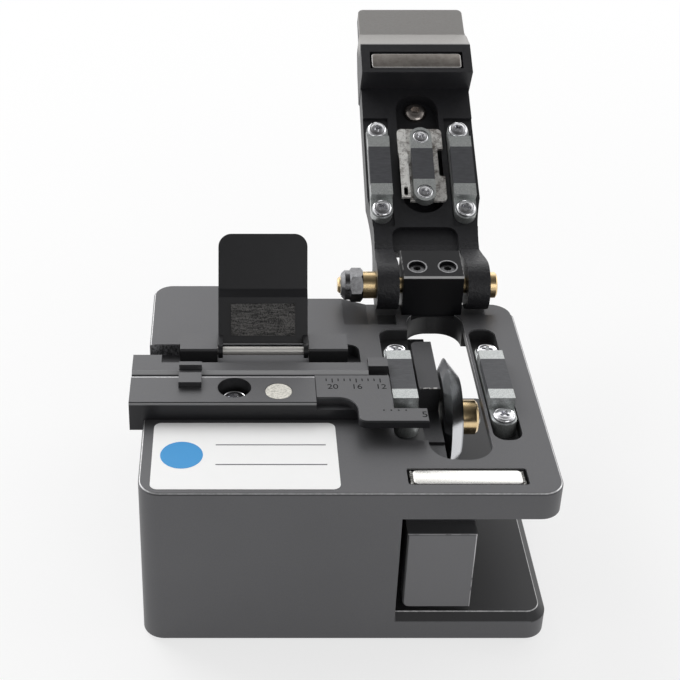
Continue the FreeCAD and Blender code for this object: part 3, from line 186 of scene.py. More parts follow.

# inside the mouth and the pockets the colour is darkened as painted shade and the anodising is
# less metallic, and the channel's left end keeps the cutter's marks
mouth_shade = open_side * (from_front > slight) * height.band(body_low.z + 0.0040, base_top + 0.0002, slight)
end_wall = from_front.band(0.0408, 0.0412, slight) * from_left.band(0.0003, 0.0052, slight)
end_wall = end_wall * (height < body_high.z - slight)
pocket_shade = from_left.band(0.0413, 0.0617, slight) * from_front.band(0.0078, 0.0525, slight)
pocket_shade = pocket_shade * height.band(body_high.z - 0.0053, body_high.z - 0.00045, slight)
cutter = anodised.place.noise(1600, 3.0, 0.7, (1.6, 1, 0.8)).soft_step(0.4, 0.6)
tone = (0.9 + cloud * 0.2) * (0.82 + grain * 0.36)
tone = tone * (1 - mouth_shade * 0.62 - pocket_shade * 0.7) * (1 + end_wall * cutter * 2.2)
grey = anodised.graph.node("CombineColor", {}, {0: tone * 0.112, 1: tone * 0.112, 2: tone * 0.117})
anodised.set("Base Color", wear_and_highlight.blend(grey, (0.78, 0.78, 0.79)))
anodised.set("Metallic", 0.6 + wear_and_highlight * 0.35 - mouth_shade * 0.15 - pocket_shade * 0.5)
anodised.set("Roughness", (0.34 + grain * 0.14 + cloud * 0.06) * (1 - wear_and_highlight * 0.3))
anodised.bump(grain, 0.000012, 0.6)
dress(anodised, "body_frame")

# ---------------------------------------------------------------------------------------------
# Label: a blank white vinyl label with rounded corners at the front left of the plate. It has a
# plain blue disc and two ruled lines to write on, and nothing else.


def piece(name, mesh, body, slot, *finishes):
    """Puts a mesh in the scene as one of the object's pieces, riding on a body."""
    made = bpy.data.objects.new(name, mesh)
    bpy.context.scene.collection.objects.link(made)
    for finish in finishes:
        mesh.materials.append(finish.material)
    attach(made, body)
    return made


def mesh_of(shape, name, smooth=True):
    """Closes a bmesh into a mesh with its faces turned outwards."""
    bmesh.ops.remove_doubles(shape, verts=shape.verts, dist=1e-7)
    bmesh.ops.recalc_face_normals(shape, faces=shape.faces)
    mesh = bpy.data.meshes.new(name)
    shape.to_mesh(mesh)
    shape.free()
    for face in mesh.polygons:
        face.use_smooth = smooth
    return mesh


def thicken(shape, faces, rise):
    """Raises flat faces into a solid of that height."""
    risen = bmesh.ops.extrude_face_region(shape, geom=faces)
    lifted = [item for item in risen["geom"] if isinstance(item, bmesh.types.BMVert)]
    bmesh.ops.translate(shape, vec=Vector((0, 0, rise)), verts=lifted)


def flat_tablet(shape, low, high, radius, bottom, top):
    """A flat tablet between two corners (x, y) with rounded upright edges, in metres."""
    size = Vector((high[0] - low[0], high[1] - low[1], 1))
    middle = Vector(((high[0] + low[0]) / 2, (high[1] + low[1]) / 2, bottom))
    grid = bmesh.ops.create_grid(shape, x_segments=1, y_segments=1, size=0.5)
    corners = grid["verts"]
    bmesh.ops.scale(shape, vec=size, verts=corners)
    bmesh.ops.translate(shape, vec=middle, verts=corners)
    face = corners[0].link_faces[0]
    if radius:
        cut = bmesh.ops.bevel(
            shape, geom=corners, offset=radius, offset_type="OFFSET", segments=6,
            profile=0.5, affect="VERTICES", material=-1,
        )
        faces = cut["faces"] + [face for vertex in cut["verts"] for face in vertex.link_faces]
        face = max(faces, key=lambda each: each.calc_area())
    thicken(shape, [face], top - bottom)


label_corner = on_plate(1.9, 1.1)
label_far = on_plate(31.4, 17.9)
label_top = body_high.z + 0.00007
ink = 0.00002

vinyl = Finish("label_vinyl", (0.86, 0.86, 0.85), 0.0, 0.34, Coat_Weight=0.25)
wrinkle = vinyl.place.noise(260, 3.0, 0.55)
vinyl.set("Base Color", wrinkle.blend((0.92, 0.92, 0.915), (0.96, 0.96, 0.955)))
vinyl.set("Roughness", 0.28 + wrinkle * 0.16)
vinyl.bump(wrinkle, 0.00003, 0.35)

shape = bmesh.new()
flat_tablet(shape, label_corner, label_far, 0.0012, body_high.z, label_top)
piece("label", mesh_of(shape, "label", False), "body", "label_white", vinyl)

print_blue = Finish("label_blue", (0.016, 0.30, 0.68), 0.0, 0.38)
print_grain = print_blue.place.noise(3000, 2.0)
print_blue.set("Roughness", 0.32 + print_grain * 0.12)
shape = bmesh.new()
disc_place = on_plate(6.6, 9.5, 0.07)
bmesh.ops.create_circle(shape, cap_ends=True, segments=64, radius=0.0034)
thicken(shape, list(shape.faces), ink)
bmesh.ops.translate(shape, vec=disc_place, verts=shape.verts)
piece("label_disc", mesh_of(shape, "label_disc", False), "body", "label_white", print_blue)

print_grey = Finish("label_grey", (0.10, 0.10, 0.11), 0.0, 0.42)
print_grain = print_grey.place.noise(3000, 2.0)
print_grey.set("Roughness", 0.36 + print_grain * 0.12)
shape = bmesh.new()
for line_y in (7.0, 12.0):
    start, stop = on_plate(12.0, line_y), on_plate(29.6, line_y + 0.22)
    flat_tablet(shape, start, stop, 0, label_top - 0.00001, label_top + ink)
piece("label_rules", mesh_of(shape, "label_rules", False), "body", "label_white", print_grey)

# ---------------------------------------------------------------------------------------------
# Pads: blasted steel blocks in pairs on the body and in the arm, each with a rubber block let
# into it. The pads on the body and on the arm meet face to face when the arm is shut.
pad_steel = Finish("pad_steel", (0.42, 0.43, 0.425), 0.78, 0.36)
grain = pad_steel.place.noise(5200, 3.0, 0.6)
brushed = pad_steel.place.noise(2400, 2.0, 0.5, (9, 1, 1))
mottle = (grain * 0.6 + brushed * 0.4).soft_step(0.3, 0.7)
pad_steel.set("Base Color", mottle.blend((0.32, 0.34, 0.34), (0.60, 0.615, 0.605)))
pad_steel.set("Roughness", 0.28 + grain * 0.12 + brushed * 0.12)
pad_steel.bump(grain * 0.5 + brushed * 0.5, 0.00001, 0.5)
dress(pad_steel, "base_pad_left", "base_pad_right", "arm_pad_left", "arm_pad_right", "anvil_block")

rubber = Finish("pad_rubber", (0.045, 0.047, 0.052), 0.0, 0.55)
pores = rubber.place.noise(4200, 4.0, 0.6)
scuff = rubber.place.noise(700, 2.0, 0.5, (1, 4, 1))
rubber.set("Base Color", scuff.blend((0.030, 0.031, 0.036), (0.075, 0.077, 0.085)))
rubber.set("Roughness", 0.42 + pores * 0.22)
rubber.bump(pores, 0.00002, 0.6)
dress(rubber, "base_pad_rubbers", "arm_pad_rubbers", "anvil_rubber")

# ---------------------------------------------------------------------------------------------
# Screws: chrome-plated pan heads with a cross recess. They hold the pads, the anvil, the holder
# and the hinge block, and each one stopped at an angle of its own.
chrome = Finish("screw_chrome", (0.72, 0.72, 0.74), 1.0, 0.16)
haze = chrome.place.noise(1800, 3.0, 0.6)
chrome.set("Base Color", haze.blend((0.62, 0.62, 0.64), (0.80, 0.80, 0.82)))
chrome.set("Roughness", 0.10 + haze * 0.14)
chrome.bump(haze, 0.000008, 0.4)


def turned(outline, name):
    """A closed mesh turned about Z from its outline of (radius, height)."""
    shape = bmesh.new()
    points = [shape.verts.new((r, 0, z)) for r, z in outline]
    lines = [shape.edges.new(pair) for pair in zip(points, points[1:])]
    bmesh.ops.spin(
        shape, geom=points + lines, cent=(0, 0, 0), axis=(0, 0, 1), angle=math.tau, steps=40, use_merge=True,
    )
    return mesh_of(shape, name)


def recessed(head_mesh, cutter_mesh):
    """The head with the recess cut into it."""
    head = bpy.data.objects.new("head", head_mesh)
    cutter = bpy.data.objects.new("cutter", cutter_mesh)
    for item in (head, cutter):
        bpy.context.scene.collection.objects.link(item)
    cut = head.modifiers.new("recess", "BOOLEAN")
    cut.operation = "DIFFERENCE"
    cut.solver = "EXACT"
    cut.use_self = True
    cut.object = cutter
    graph = bpy.context.evaluated_depsgraph_get()
    mesh = bpy.data.meshes.new_from_object(head.evaluated_get(graph))
    mesh.materials.clear()
    for item in (head, cutter):
        bpy.data.objects.remove(item)
    return mesh


def cross_head(radius, rise, shank, reach):
    """A pan head screw standing on z = 0, its shank below, with a tapered cross recess."""
    outline = [
        (0, -reach), (shank, -reach), (shank, 0), (radius * 0.97, 0), (radius, rise * 0.12),
        (radius, rise * 0.42), (radius * 0.97, rise * 0.62), (radius * 0.9, rise * 0.8),
        (radius * 0.84, rise * 0.86), (radius * 0.8, rise * 0.8), (radius * 0.74, rise * 0.8),
        (radius * 0.62, rise * 0.93), (radius * 0.4, rise), (0, rise),
    ]
    shape = bmesh.new()
    for turn in (0, math.pi / 2):
        arm = bmesh.ops.create_cube(shape, size=1.0)["verts"]
        floor = [v for v in arm if v.co.z < 0]
        bmesh.ops.scale(shape, vec=(radius * 1.42, radius * 0.33, rise * 1.7), verts=arm)
        bmesh.ops.scale(shape, vec=(0.4, 0.8, 1), verts=floor)
        bmesh.ops.translate(shape, vec=(0, 0, rise), verts=arm)
        bmesh.ops.rotate(shape, cent=(0, 0, 0), matrix=Matrix.Rotation(turn, 3, "Z"), verts=arm)
    core = bmesh.ops.create_cone(
        shape, cap_ends=True, segments=8, radius1=radius * 0.1, radius2=radius * 0.36, depth=rise * 1.7
    )
    bmesh.ops.translate(shape, vec=(0, 0, rise), verts=core["verts"])
    return recessed(turned(outline, "head"), mesh_of(shape, "cutter", False))


def hex_head(radius, rise, shank, reach, socket, dome):
    """A screw standing on z = 0 with a six-sided socket; dome is the share that curves over."""
    outline = [(0, -reach), (shank, -reach), (shank, 0), (radius * 0.97, 0), (radius, rise * 0.08)]
    steps = 6
    for step in range(steps + 1):
        turn = math.pi / 2 * step / steps
        edge = radius * (1 - dome * (1 - math.cos(turn)))
        outline.append((edge, rise * (1 - dome * (1 - math.sin(turn)))))
    outline.append((0, rise))
    shape = bmesh.new()
    sides = bmesh.ops.create_cone(
        shape, cap_ends=True, segments=6, radius1=socket, radius2=socket, depth=rise * 1.2
    )
    bmesh.ops.translate(shape, vec=(0, 0, rise), verts=sides["verts"])
    return recessed(turned(outline, "head"), mesh_of(shape, "cutter", False))


def copies(name, mesh, places, smooth=30):
    """One mesh made of a copy of another at each place."""
    shape = bmesh.new()
    for place in places:
        start = len(shape.verts)
        shape.from_mesh(mesh)
        shape.verts.ensure_lookup_table()
        bmesh.ops.transform(shape, matrix=place, verts=shape.verts[start:])
    made = bpy.data.meshes.new(name)
    shape.to_mesh(made)
    shape.free()
    made.shade_smooth()
    made.set_sharp_from_angle(angle=math.radians(smooth))
    return made


def joint_of(name):
    return next(joint for joint in frame["joints"] if joint["name"] == name)


def swung(joint_name):
    """A hinge's place, and the turn that opens what is worked out shut."""
    joint = joint_of(joint_name)
    centre = Vector(joint["pos_m"])
    turn = Matrix.Rotation(-math.radians(joint["range_deg"][1]), 4, "X")
    return centre, Matrix.Translation(centre) @ turn @ Matrix.Translation(-centre)


def shut_box(node, opened):
    """The lowest and highest corners of a node with its arm or lid shut."""
    back = opened.inverted()
    places = [back @ vertex.co for vertex in frame["nodes"][node].data.vertices]
    low = Vector([min(place[i] for place in places) for i in range(3)])
    high = Vector([max(place[i] for place in places) for i in range(3)])
    return low, high


pivot, arm_open = swung("arm_hinge")
turns = itertools.cycle((0.35, 1.1, 0.75, 1.35, 0.2, 0.9, 0.55, 1.25))
facing_up = Matrix()
facing_down = Matrix.Rotation(math.pi, 4, "X")
facing_back = Matrix.Rotation(-math.pi / 2, 4, "X")


def set_screws(node, body, head, spots, facing, opened=Matrix(), finish=chrome, slot="screw_chrome"):
    """A head at each spot in place of the plain screws of a node."""
    places = []
    for spot in spots:
        turn = Matrix.Rotation(next(turns), 4, "Z")
        places.append(opened @ Matrix.Translation(spot) @ facing @ turn)
    name = node + "_heads"
    made = piece(name, copies(name, head, places), body, slot, finish)
    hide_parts(node)


def in_pairs(low, high, inset, seat_z):
    """The places of four screws at the corners of a box, their edges on its sides."""
    return [(x, y, seat_z) for x in (low.x + inset, high.x - inset) for y in (low.y + inset, high.y - inset)]


head_rise = 0.0009
head_radius = 0.0019
shank = 0.001
pan_head = cross_head(head_radius, head_rise, shank, 0.0012)
low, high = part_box("base_pad_screws")
spots = in_pairs(low, high, head_radius, high.z - head_rise)
set_screws("base_pad_screws", "body", pan_head, spots, facing_up)
low, high = shut_box("arm_pad_screws", arm_open)
spots = in_pairs(low, high, head_radius, low.z + head_rise)
set_screws("arm_pad_screws", "arm", pan_head, spots, facing_down, arm_open)

low, high = shut_box("anvil_screws", arm_open)
radius = (high.x - low.x) / 2
small_rise = 0.00055
small_head = cross_head(radius, small_rise, radius * 0.5, 0.0008)
spots = [((low.x + high.x) / 2, y, low.z + small_rise) for y in (low.y + radius, high.y - radius)]
set_screws("anvil_screws", "anvil", small_head, spots, facing_down, arm_open)

low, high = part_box("guide_rail_screws")
radius = (high.x - low.x) / 2
rail_head = cross_head(radius, head_rise, shank, 0.003)
spots = [((low.x + high.x) / 2, y, low.z + head_rise)
         for y in (low.y + radius, (low.y + high.y) / 2, high.y - radius)]
set_screws("guide_rail_screws", "body", rail_head, spots, facing_down)

low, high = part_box("hinge_block_screws")
radius = (high.z - low.z) / 2
block_head = cross_head(radius, head_rise, shank, 0.004)
spots = [(x, high.y - head_rise, (low.z + high.z) / 2) for x in (low.x + radius, high.x - radius)]
set_screws("hinge_block_screws", "body", block_head, spots, facing_back)

low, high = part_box("holder_screw")
radius = (high.x - low.x) / 2
holder_head = cross_head(radius, head_rise, shank, 0.002)
spots = [((low.x + high.x) / 2, (low.y + high.y) / 2, high.z - head_rise)]
set_screws("holder_screw", "body", holder_head, spots, facing_up)

dark_chrome = Finish("stop_screw_chrome", (0.42, 0.38, 0.36), 1.0, 0.2)
haze = dark_chrome.place.noise(1600, 3.0, 0.6)
dark_chrome.set("Base Color", haze.blend((0.30, 0.26, 0.24), (0.56, 0.52, 0.49)))
dark_chrome.set("Roughness", 0.16 + haze * 0.16)
low, high = shut_box("arm_stop_screw", arm_open)
radius = (high.x - low.x) / 2
dome_rise = 0.0013
dome_head = hex_head(radius, dome_rise, radius * 0.5, 0.002, radius * 0.42, 0.7)
spots = [((low.x + high.x) / 2, (low.y + high.y) / 2, low.z + dome_rise)]
set_screws("arm_stop_screw", "arm", dome_head, spots, facing_down, arm_open, dark_chrome)
dress(chrome, "slider_screws")

# ---------------------------------------------------------------------------------------------
# Magnets: nickel-plated bars in the plate and in the arm, and a disc in the holder. The bar in
# the plate is glued into its recess, and the glue shows at both ends.
nickel = Finish("magnet_nickel", (0.34, 0.31, 0.28), 0.85, 0.3)
stain = nickel.place.noise(900, 4.0, 0.6)
grain = nickel.place.noise(6000, 2.0)
nickel.set("Base Color", stain.blend((0.20, 0.175, 0.155), (0.46, 0.43, 0.40)))
nickel.set("Roughness", 0.22 + stain * 0.15 + grain * 0.1)
nickel.bump(grain * 0.6 + stain * 0.4, 0.00001, 0.4)


def block(low, high):
    """A new shape that fills a box."""
    shape = bmesh.new()
    bmesh.ops.create_cube(shape, size=1.0)
    bmesh.ops.scale(shape, vec=high - low, verts=shape.verts)
    bmesh.ops.translate(shape, vec=(low + high) / 2, verts=shape.verts)
    return shape


def rounded_bar(low, high, corner, rim, name):
    """A bar with rounded upright edges and a small round along its flat faces, its rim in a second finish
    with a painted highlight.
    """
    shape = block(low, high)
    upright = [e for e in shape.edges if abs(e.verts[0].co.z - e.verts[1].co.z) > 1e-6]
    bmesh.ops.bevel(shape, geom=upright, offset=corner, segments=5, profile=0.5, affect="EDGES", material=-1)
    level = [e for e in shape.edges if abs(e.verts[0].co.z - e.verts[1].co.z) < 1e-7]
    flat = [e for e in level if e.calc_face_angle(0) > 1]
    bmesh.ops.bevel(shape, geom=flat, offset=rim, segments=2, profile=0.5, affect="EDGES", material=-1)
    mesh = mesh_of(shape, name)
    mesh.set_sharp_from_angle(angle=math.radians(40))
    for face in mesh.polygons:
        face.material_index = int(0.1 < abs(face.normal.z) < 0.95)
    return mesh


# the rim's pale colour is a painted highlight, bright whatever the rim reflects
rim_highlight = Finish("magnet_rim_highlight", (0.90, 0.89, 0.87), 0.35, 0.35)
rim_highlight_noise = rim_highlight.place.noise(1800, 3.0, 0.6)
rim_highlight.set("Base Color", rim_highlight_noise.blend((0.66, 0.64, 0.62), (0.98, 0.97, 0.95)))
rim_highlight.set("Roughness", 0.28 + rim_highlight_noise * 0.16)

bright_nickel = Finish("magnet_bright", (0.80, 0.79, 0.76), 1.0, 0.26)
grain = bright_nickel.place.noise(5200, 3.0, 0.6)
bright_nickel.set("Base Color", grain.blend((0.72, 0.71, 0.68), (0.90, 0.89, 0.86)))
bright_nickel.set("Roughness", 0.22 + grain * 0.12)
bright_nickel.bump(grain, 0.000008, 0.4)
magnet_low, magnet_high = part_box("base_magnet")
bar = piece(
    "base_magnet_bar", rounded_bar(magnet_low, magnet_high, 0.0007, 0.00012, "base_magnet_bar"),
    "body", "magnet_nickel", bright_nickel, rim_highlight,
)
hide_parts("base_magnet")

nickel_low, nickel_high = shut_box("arm_magnet", arm_open)
nickel_mesh = rounded_bar(nickel_low, nickel_high, 0.0006, 0.00016, "arm_magnet_bar")
nickel_mesh.transform(arm_open)
bar = piece("arm_magnet_bar", nickel_mesh, "arm", "magnet_nickel", nickel, rim_highlight)
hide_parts("arm_magnet")

sintered = Finish("magnet_disc", (0.58, 0.56, 0.52), 0.7, 0.42)
grain = sintered.place.noise(2600, 4.0, 0.7)
sintered.set("Base Color", grain.soft_step(0.3, 0.62).blend((0.42, 0.41, 0.37), (0.74, 0.72, 0.66)))
sintered.set("Roughness", 0.34 + grain * 0.2)
sintered.bump(grain, 0.00003, 0.7)
dress(sintered, "holder_magnet")

# beads of hard glue stand in the gaps at both ends of the plate's bar
resin = Finish("magnet_glue", (0.16, 0.15, 0.13), 0.0, 0.08, Coat_Weight=0.6)
swirl = resin.place.noise(2600, 2.0)
resin.set("Base Color", swirl.blend((0.03, 0.03, 0.028), (0.42, 0.41, 0.38)))
resin.set("Roughness", 0.05 + swirl * 0.12)
shape = bmesh.new()
beads = 7
for end, out in ((magnet_low.x, -1), (magnet_high.x, 1)):
    for step in range(beads):
        share = (step + 0.5) / beads
        bead = bmesh.ops.create_icosphere(shape, subdivisions=3, radius=0.00026)["verts"]
        across = out * (0.00022 + 0.00018 * noise.noise((step * 1.7, out, 3.1)))
        along = magnet_low.y + (magnet_high.y - magnet_low.y) * share
        for vertex in bead:
            vertex.co *= 1 + 0.5 * noise.noise(vertex.co * 6000 + Vector((step, out, 0)))
        bmesh.ops.translate(shape, vec=(end + across, along, magnet_high.z - 0.00034), verts=bead)
piece("magnet_glue", mesh_of(shape, "magnet_glue"), "body", "label_white", resin)

# ---------------------------------------------------------------------------------------------
# Hinge: a steel block on the plate's rear edge carries a brass bolt, with a brass and a plain
# washer and a chrome lock nut at its left end. Two set screws press on the bolt from above.
block_steel = Finish("hinge_block_black", (0.03, 0.03, 0.032), 0.35, 0.38, Specular_IOR_Level=0.18)
grain = block_steel.place.noise(5200, 3.0, 0.6)
brushed = block_steel.place.noise(1800, 2.0, 0.5, (1, 1, 8))
block_low, block_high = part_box("hinge_block")
from_front = block_steel.place.axis("Y") - block_low.y
level = block_steel.place.axis("Z")
shoulder_z = body_high.z + 0.007
front_edge = from_front.band(0.00004, 0.00034, 0.00003)
front_edge = front_edge * level.soft_step(shoulder_z - 0.0006, shoulder_z - 0.0002)
from_middle = block_steel.place.axis("X") - (block_low.x + block_high.x) / 2
half_width = (block_high.x - block_low.x) / 2
side_edge = from_middle.math("ABSOLUTE", from_middle).soft_step(half_width - 0.00016, half_width - 0.00008)
side_edge = side_edge * level.soft_step(shoulder_z - 0.0004, shoulder_z - 0.0001)
rub = block_steel.place.noise(900, 3.0, 0.6).soft_step(0.3, 0.6)
pale_tone = front_edge + side_edge * 0.35 * rub
plain = (grain * 0.5 + brushed * 0.5).blend((0.005, 0.005, 0.006), (0.011, 0.011, 0.013))
block_steel.set("Base Color", pale_tone.blend(plain, (0.72, 0.72, 0.72)))
block_steel.set("Metallic", 0.05 + pale_tone * 0.85)
block_steel.set("Roughness", 0.30 + grain * 0.16)
block_steel.bump(grain, 0.00001, 0.5)
dress(block_steel, "hinge_block")

black_steel = Finish("set_screw_steel", (0.10, 0.10, 0.105), 0.8, 0.34)
grain = black_steel.place.noise(5000, 2.0)
black_steel.set("Roughness", 0.26 + grain * 0.18)
low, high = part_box("hinge_set_screws")
radius = (high.y - low.y) / 2
sunk = hex_head(radius, high.z - low.z, radius, 0.00001, radius * 0.5, 0.12)
spots = [(x, (low.y + high.y) / 2, low.z) for x in (low.x + radius, high.x - radius)]
set_screws("hinge_set_screws", "body", sunk, spots, facing_up, Matrix(), black_steel, "set_screw_black")

# the rims of the two holes are rubbed bright
rim_steel = Finish("hole_rim", (0.22, 0.22, 0.23), 0.8, 0.35)
rub = rim_steel.place.noise(1600, 3.0, 0.6)
rim_steel.set("Base Color", rub.blend((0.10, 0.10, 0.105), (0.42, 0.42, 0.43)))
rim_steel.set("Roughness", 0.26 + rub * 0.2)
sunk_z, proud_z = -0.0001, 0.00003
rim = [(radius * 1.02, sunk_z), (radius * 1.25, sunk_z), (radius * 1.22, proud_z), (radius * 1.06, proud_z)]
rim_mesh = turned(rim + rim[:1], "set_screw_rims")
slope = math.radians(8)
top_z = shoulder_z + (low.y + radius - block_low.y) * math.tan(slope)
lean = Matrix.Rotation(slope, 4, "X")
places = [Matrix.Translation((spot[0], spot[1], top_z)) @ lean for spot in spots]
piece("set_screw_rims", copies("set_screw_rims", rim_mesh, places), "body", "set_screw_black", rim_steel)

brass = Finish("bolt_brass", (0.62, 0.42, 0.16), 1.0, 0.2)
tarnish = brass.place.noise(1300, 3.0, 0.6)
brass.set("Base Color", tarnish.blend((0.66, 0.46, 0.22), (0.92, 0.74, 0.46)))
brass.set("Roughness", 0.14 + tarnish * 0.16)
tool_feed = 0.00012
lathe = brass.graph.math("SINE", brass.place.axis("X") * (math.tau / tool_feed))
brass.bump(lathe, 0.000003, 0.4)
dress(brass, "hinge_bolt", "hinge_washers", "blade_nut")

nut_plate = Finish("nut_plate", (0.50, 0.50, 0.51), 1.0, 0.16)
haze = nut_plate.place.noise(1500, 3.0, 0.6)
nut_plate.set("Base Color", haze.blend((0.09, 0.09, 0.095), (0.34, 0.34, 0.35)))
nut_plate.set("Roughness", 0.12 + haze * 0.14)
dress(nut_plate, "hinge_nut")

nylon = Finish("nut_nylon", (0.62, 0.62, 0.60), 0.0, 0.42)
cloud = nylon.place.noise(1500, 2.0)
nylon.set("Base Color", cloud.blend((0.5, 0.5, 0.48), (0.72, 0.72, 0.70)))
bore, rim = 0.00152, 0.0019
ring = [(bore, 0.0), (rim, 0.0), (rim, 0.00012), (0.0017, 0.00018), (bore, 0.00012)]
ring_mesh = turned(ring + ring[:1], "nut_nylon_ring")
facing_left = Matrix.Rotation(-math.pi / 2, 4, "Y")
nut_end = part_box("hinge_nut")[0].x
ring_mesh.transform(Matrix.Translation((nut_end, pivot.y, pivot.z)) @ facing_left)
piece("nut_nylon_ring", ring_mesh, "body", "label_white", nylon)

# ---------------------------------------------------------------------------------------------
# Arm: cast and milled aluminium, painted satin black; the finger lip's inner face has a painted reflection.
# The cheeks around the bolt keep the casting's rough skin. The anvil rides on a bent leaf of spring steel.
arm_paint = Finish("arm_paint", (0.018, 0.018, 0.020), 0.1, 0.4, Specular_IOR_Level=0.4)
skin = arm_paint.place.noise(1500, 4.0, 0.65)
grain = arm_paint.place.noise(5200, 3.0, 0.6)
from_bolt_y = arm_paint.place.axis("Y") - pivot.y
from_bolt_z = arm_paint.place.axis("Z") - pivot.z
cast = 1 - arm_paint.place.from_axle(pivot).soft_step(0.0085, 0.013)
lean = math.radians(joint_of("arm_hinge")["range_deg"][1] - 90)
along = from_bolt_y * math.sin(lean) + from_bolt_z * math.cos(lean)
lip_root = 0.0554
outward = from_bolt_z * math.sin(lean) - from_bolt_y * math.cos(lean)
# the finger lip's inner face is painted paler and more metallic as a painted reflection
lip_reflection = along.soft_step(lip_root - 0.0003, lip_root + 0.0003) * outward.soft_step(-0.0012, -0.0010)
# a pale band at the end of the hollow between the legs is a painted highlight in place of a chamfer
web_end_highlight = along.band(0.0090, 0.0108, 0.00005) * outward.band(-0.0035, -0.0028, 0.0001)
brushed = arm_paint.place.noise(1700, 2.0, 0.6, (1, 12, 12))
black = (skin + web_end_highlight * 5).blend((0.011, 0.011, 0.013), (0.026, 0.026, 0.029))
pale_tone = brushed.blend((0.26, 0.25, 0.24), (0.42, 0.41, 0.40))
arm_paint.set("Base Color", lip_reflection.blend(black, pale_tone))
arm_paint.set("Metallic", 0.1 + lip_reflection * 0.55)
arm_paint.set("Roughness", 0.30 + grain * 0.12 + skin * 0.12)
arm_paint.bump(skin * cast * 4.0 + grain * 0.4, 0.00006, 0.8)
dress(arm_paint, "clamp_arm")

leaf_steel = Finish("leaf_steel", (0.72, 0.72, 0.73), 0.5, 0.4)
leaf_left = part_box("anvil_bracket")[0].x
stain = leaf_steel.place.noise(650, 5.0, 0.65)
fine = leaf_steel.place.noise(3800, 3.0, 0.6)
speck = (stain * 0.7 + fine * 0.3).soft_step(0.38, 0.58)
# the leaf's leg is painted lighter as a painted highlight; the specks are stains
leg_highlight = 1 - leaf_steel.place.axis("X").soft_step(leaf_left + 0.0016, leaf_left + 0.0018)
wear_and_highlight = (speck * 0.75 + leg_highlight * 0.4).capped()
leaf_steel.set("Base Color", wear_and_highlight.blend((0.20, 0.175, 0.16), (0.95, 0.94, 0.91)))
leaf_steel.set("Roughness", 0.3 + stain * 0.25)
leaf_steel.bump(speck * 0.6 + fine * 0.4, 0.00004, 0.8)
dress(leaf_steel, "anvil_bracket")

# ---------------------------------------------------------------------------------------------
# Fibre holder: a black anodised bar in the plate's channel, with a groove for the fibre, a
# scale plate at its right end, and the small lid's lugs behind it.
holder_black = Finish("holder_black", (0.09, 0.09, 0.093), 0.6, 0.36)
grain = holder_black.place.noise(6000, 3.0, 0.6)
milled = holder_black.place.noise(2600, 2.0, 0.5, (1, 10, 1))
height = holder_black.place.axis("Z")
depth = holder_black.place.axis("Y")
sideways = holder_black.place.axis("X")
holder_low, holder_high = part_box("fibre_holder")
ruler_low, ruler_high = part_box("ruler_plate")
# the tops and the bar's left end are painted paler than the other faces as a painted highlight
thin = 0.00003
lit_top = 0.0
for node in ("fibre_holder", "lid_hinge_block", "fibre_guide_clip", "fibre_stop"):
    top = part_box(node)[1].z
    lit_top = lit_top + height.band(top - thin, top + thin, 0.00001)
lit_top = (lit_top + (sideways < holder_low.x + thin)).capped()
# the fibre's groove is rubbed bright on both sides, at the front only as far as the scale
groove_y = ruler_high.y + 0.00025
near, far = 0.00035, 0.00105
left_of_scale = sideways < ruler_low.x
rear_rub = depth.band(groove_y + near, groove_y + far, 0.00006)
front_rub = depth.band(groove_y - far, groove_y - near, 0.00006) * left_of_scale
front_lip = depth.band(holder_low.y, holder_low.y + 0.00016, 0.00004) * left_of_scale
rubbed = rear_rub + front_rub + front_lip * 0.7
rubbed = rubbed * height.soft_step(holder_high.z - 0.0006, holder_high.z - 0.0003)
rubbed = rubbed * (1 - height.soft_step(holder_high.z + 0.00002, holder_high.z + 0.00005))
lit_top_tone = grain.blend((0.085, 0.085, 0.089), (0.135, 0.135, 0.14))
# the front wall is painted almost black and less metallic as painted shade
shaded_front_wall = 1 - depth.soft_step(holder_low.y + 0.0001, holder_low.y + 0.0002)
ledge_tone = grain.blend((0.060, 0.060, 0.064), (0.105, 0.105, 0.11))
front_shade_tone = grain.blend((0.012, 0.012, 0.014), (0.026, 0.026, 0.029))
sides_with_front_shade = shaded_front_wall.blend(ledge_tone, front_shade_tone)
lit_and_shaded_tone = lit_top.blend(sides_with_front_shade, lit_top_tone)
holder_black.set("Base Color", rubbed.blend(lit_and_shaded_tone, (0.55, 0.55, 0.56)))
holder_black.set("Metallic", 0.75 - lit_top * 0.15 - shaded_front_wall * (1 - lit_top) * 0.5)
holder_black.set("Roughness", 0.30 + grain * 0.12 + milled * 0.08)
holder_black.bump(grain * 0.6 + milled * 0.4, 0.00001, 0.5)
dress(holder_black, "fibre_holder", "ruler_plate", "fibre_stop", "lid_hinge_block", "fibre_guide_clip")

# the scale's lines and plain numbers are etched dark into the plate, with a few marks on its flange
etched = Finish("scale_marks", (0.006, 0.006, 0.007), 0.0, 0.6, Specular_IOR_Level=0.1)
grain = etched.place.noise(5000, 2.0)
etched.set("Roughness", 0.5 + grain * 0.2)
etch = 0.00001
blade_centre = Vector(joint_of("blade_index")["pos_m"])
shape = bmesh.new()


def mark(shape, x, y, half_width, length):
    """A short line that ends at y, as one more solid in the shape."""
    corners = (x - half_width, y - length), (x + half_width, y)
    flat_tablet(shape, *corners, 0, ruler_high.z - etch, ruler_high.z + etch)


for millimetres in range(12, 22):
    tick_length = 0.0011 if millimetres % 4 == 0 else 0.0007
    mark(shape, blade_centre.x - millimetres / 1000, ruler_high.y - 0.0011, 0.00009, tick_length)
for step in range(4):
    mark(shape, ruler_high.x - 0.0071 + step * 0.0012, ruler_low.y + 0.0031, 0.00013, 0.0003)
piece("scale_lines", mesh_of(shape, "scale_lines", False), "body", "scale_black", etched)


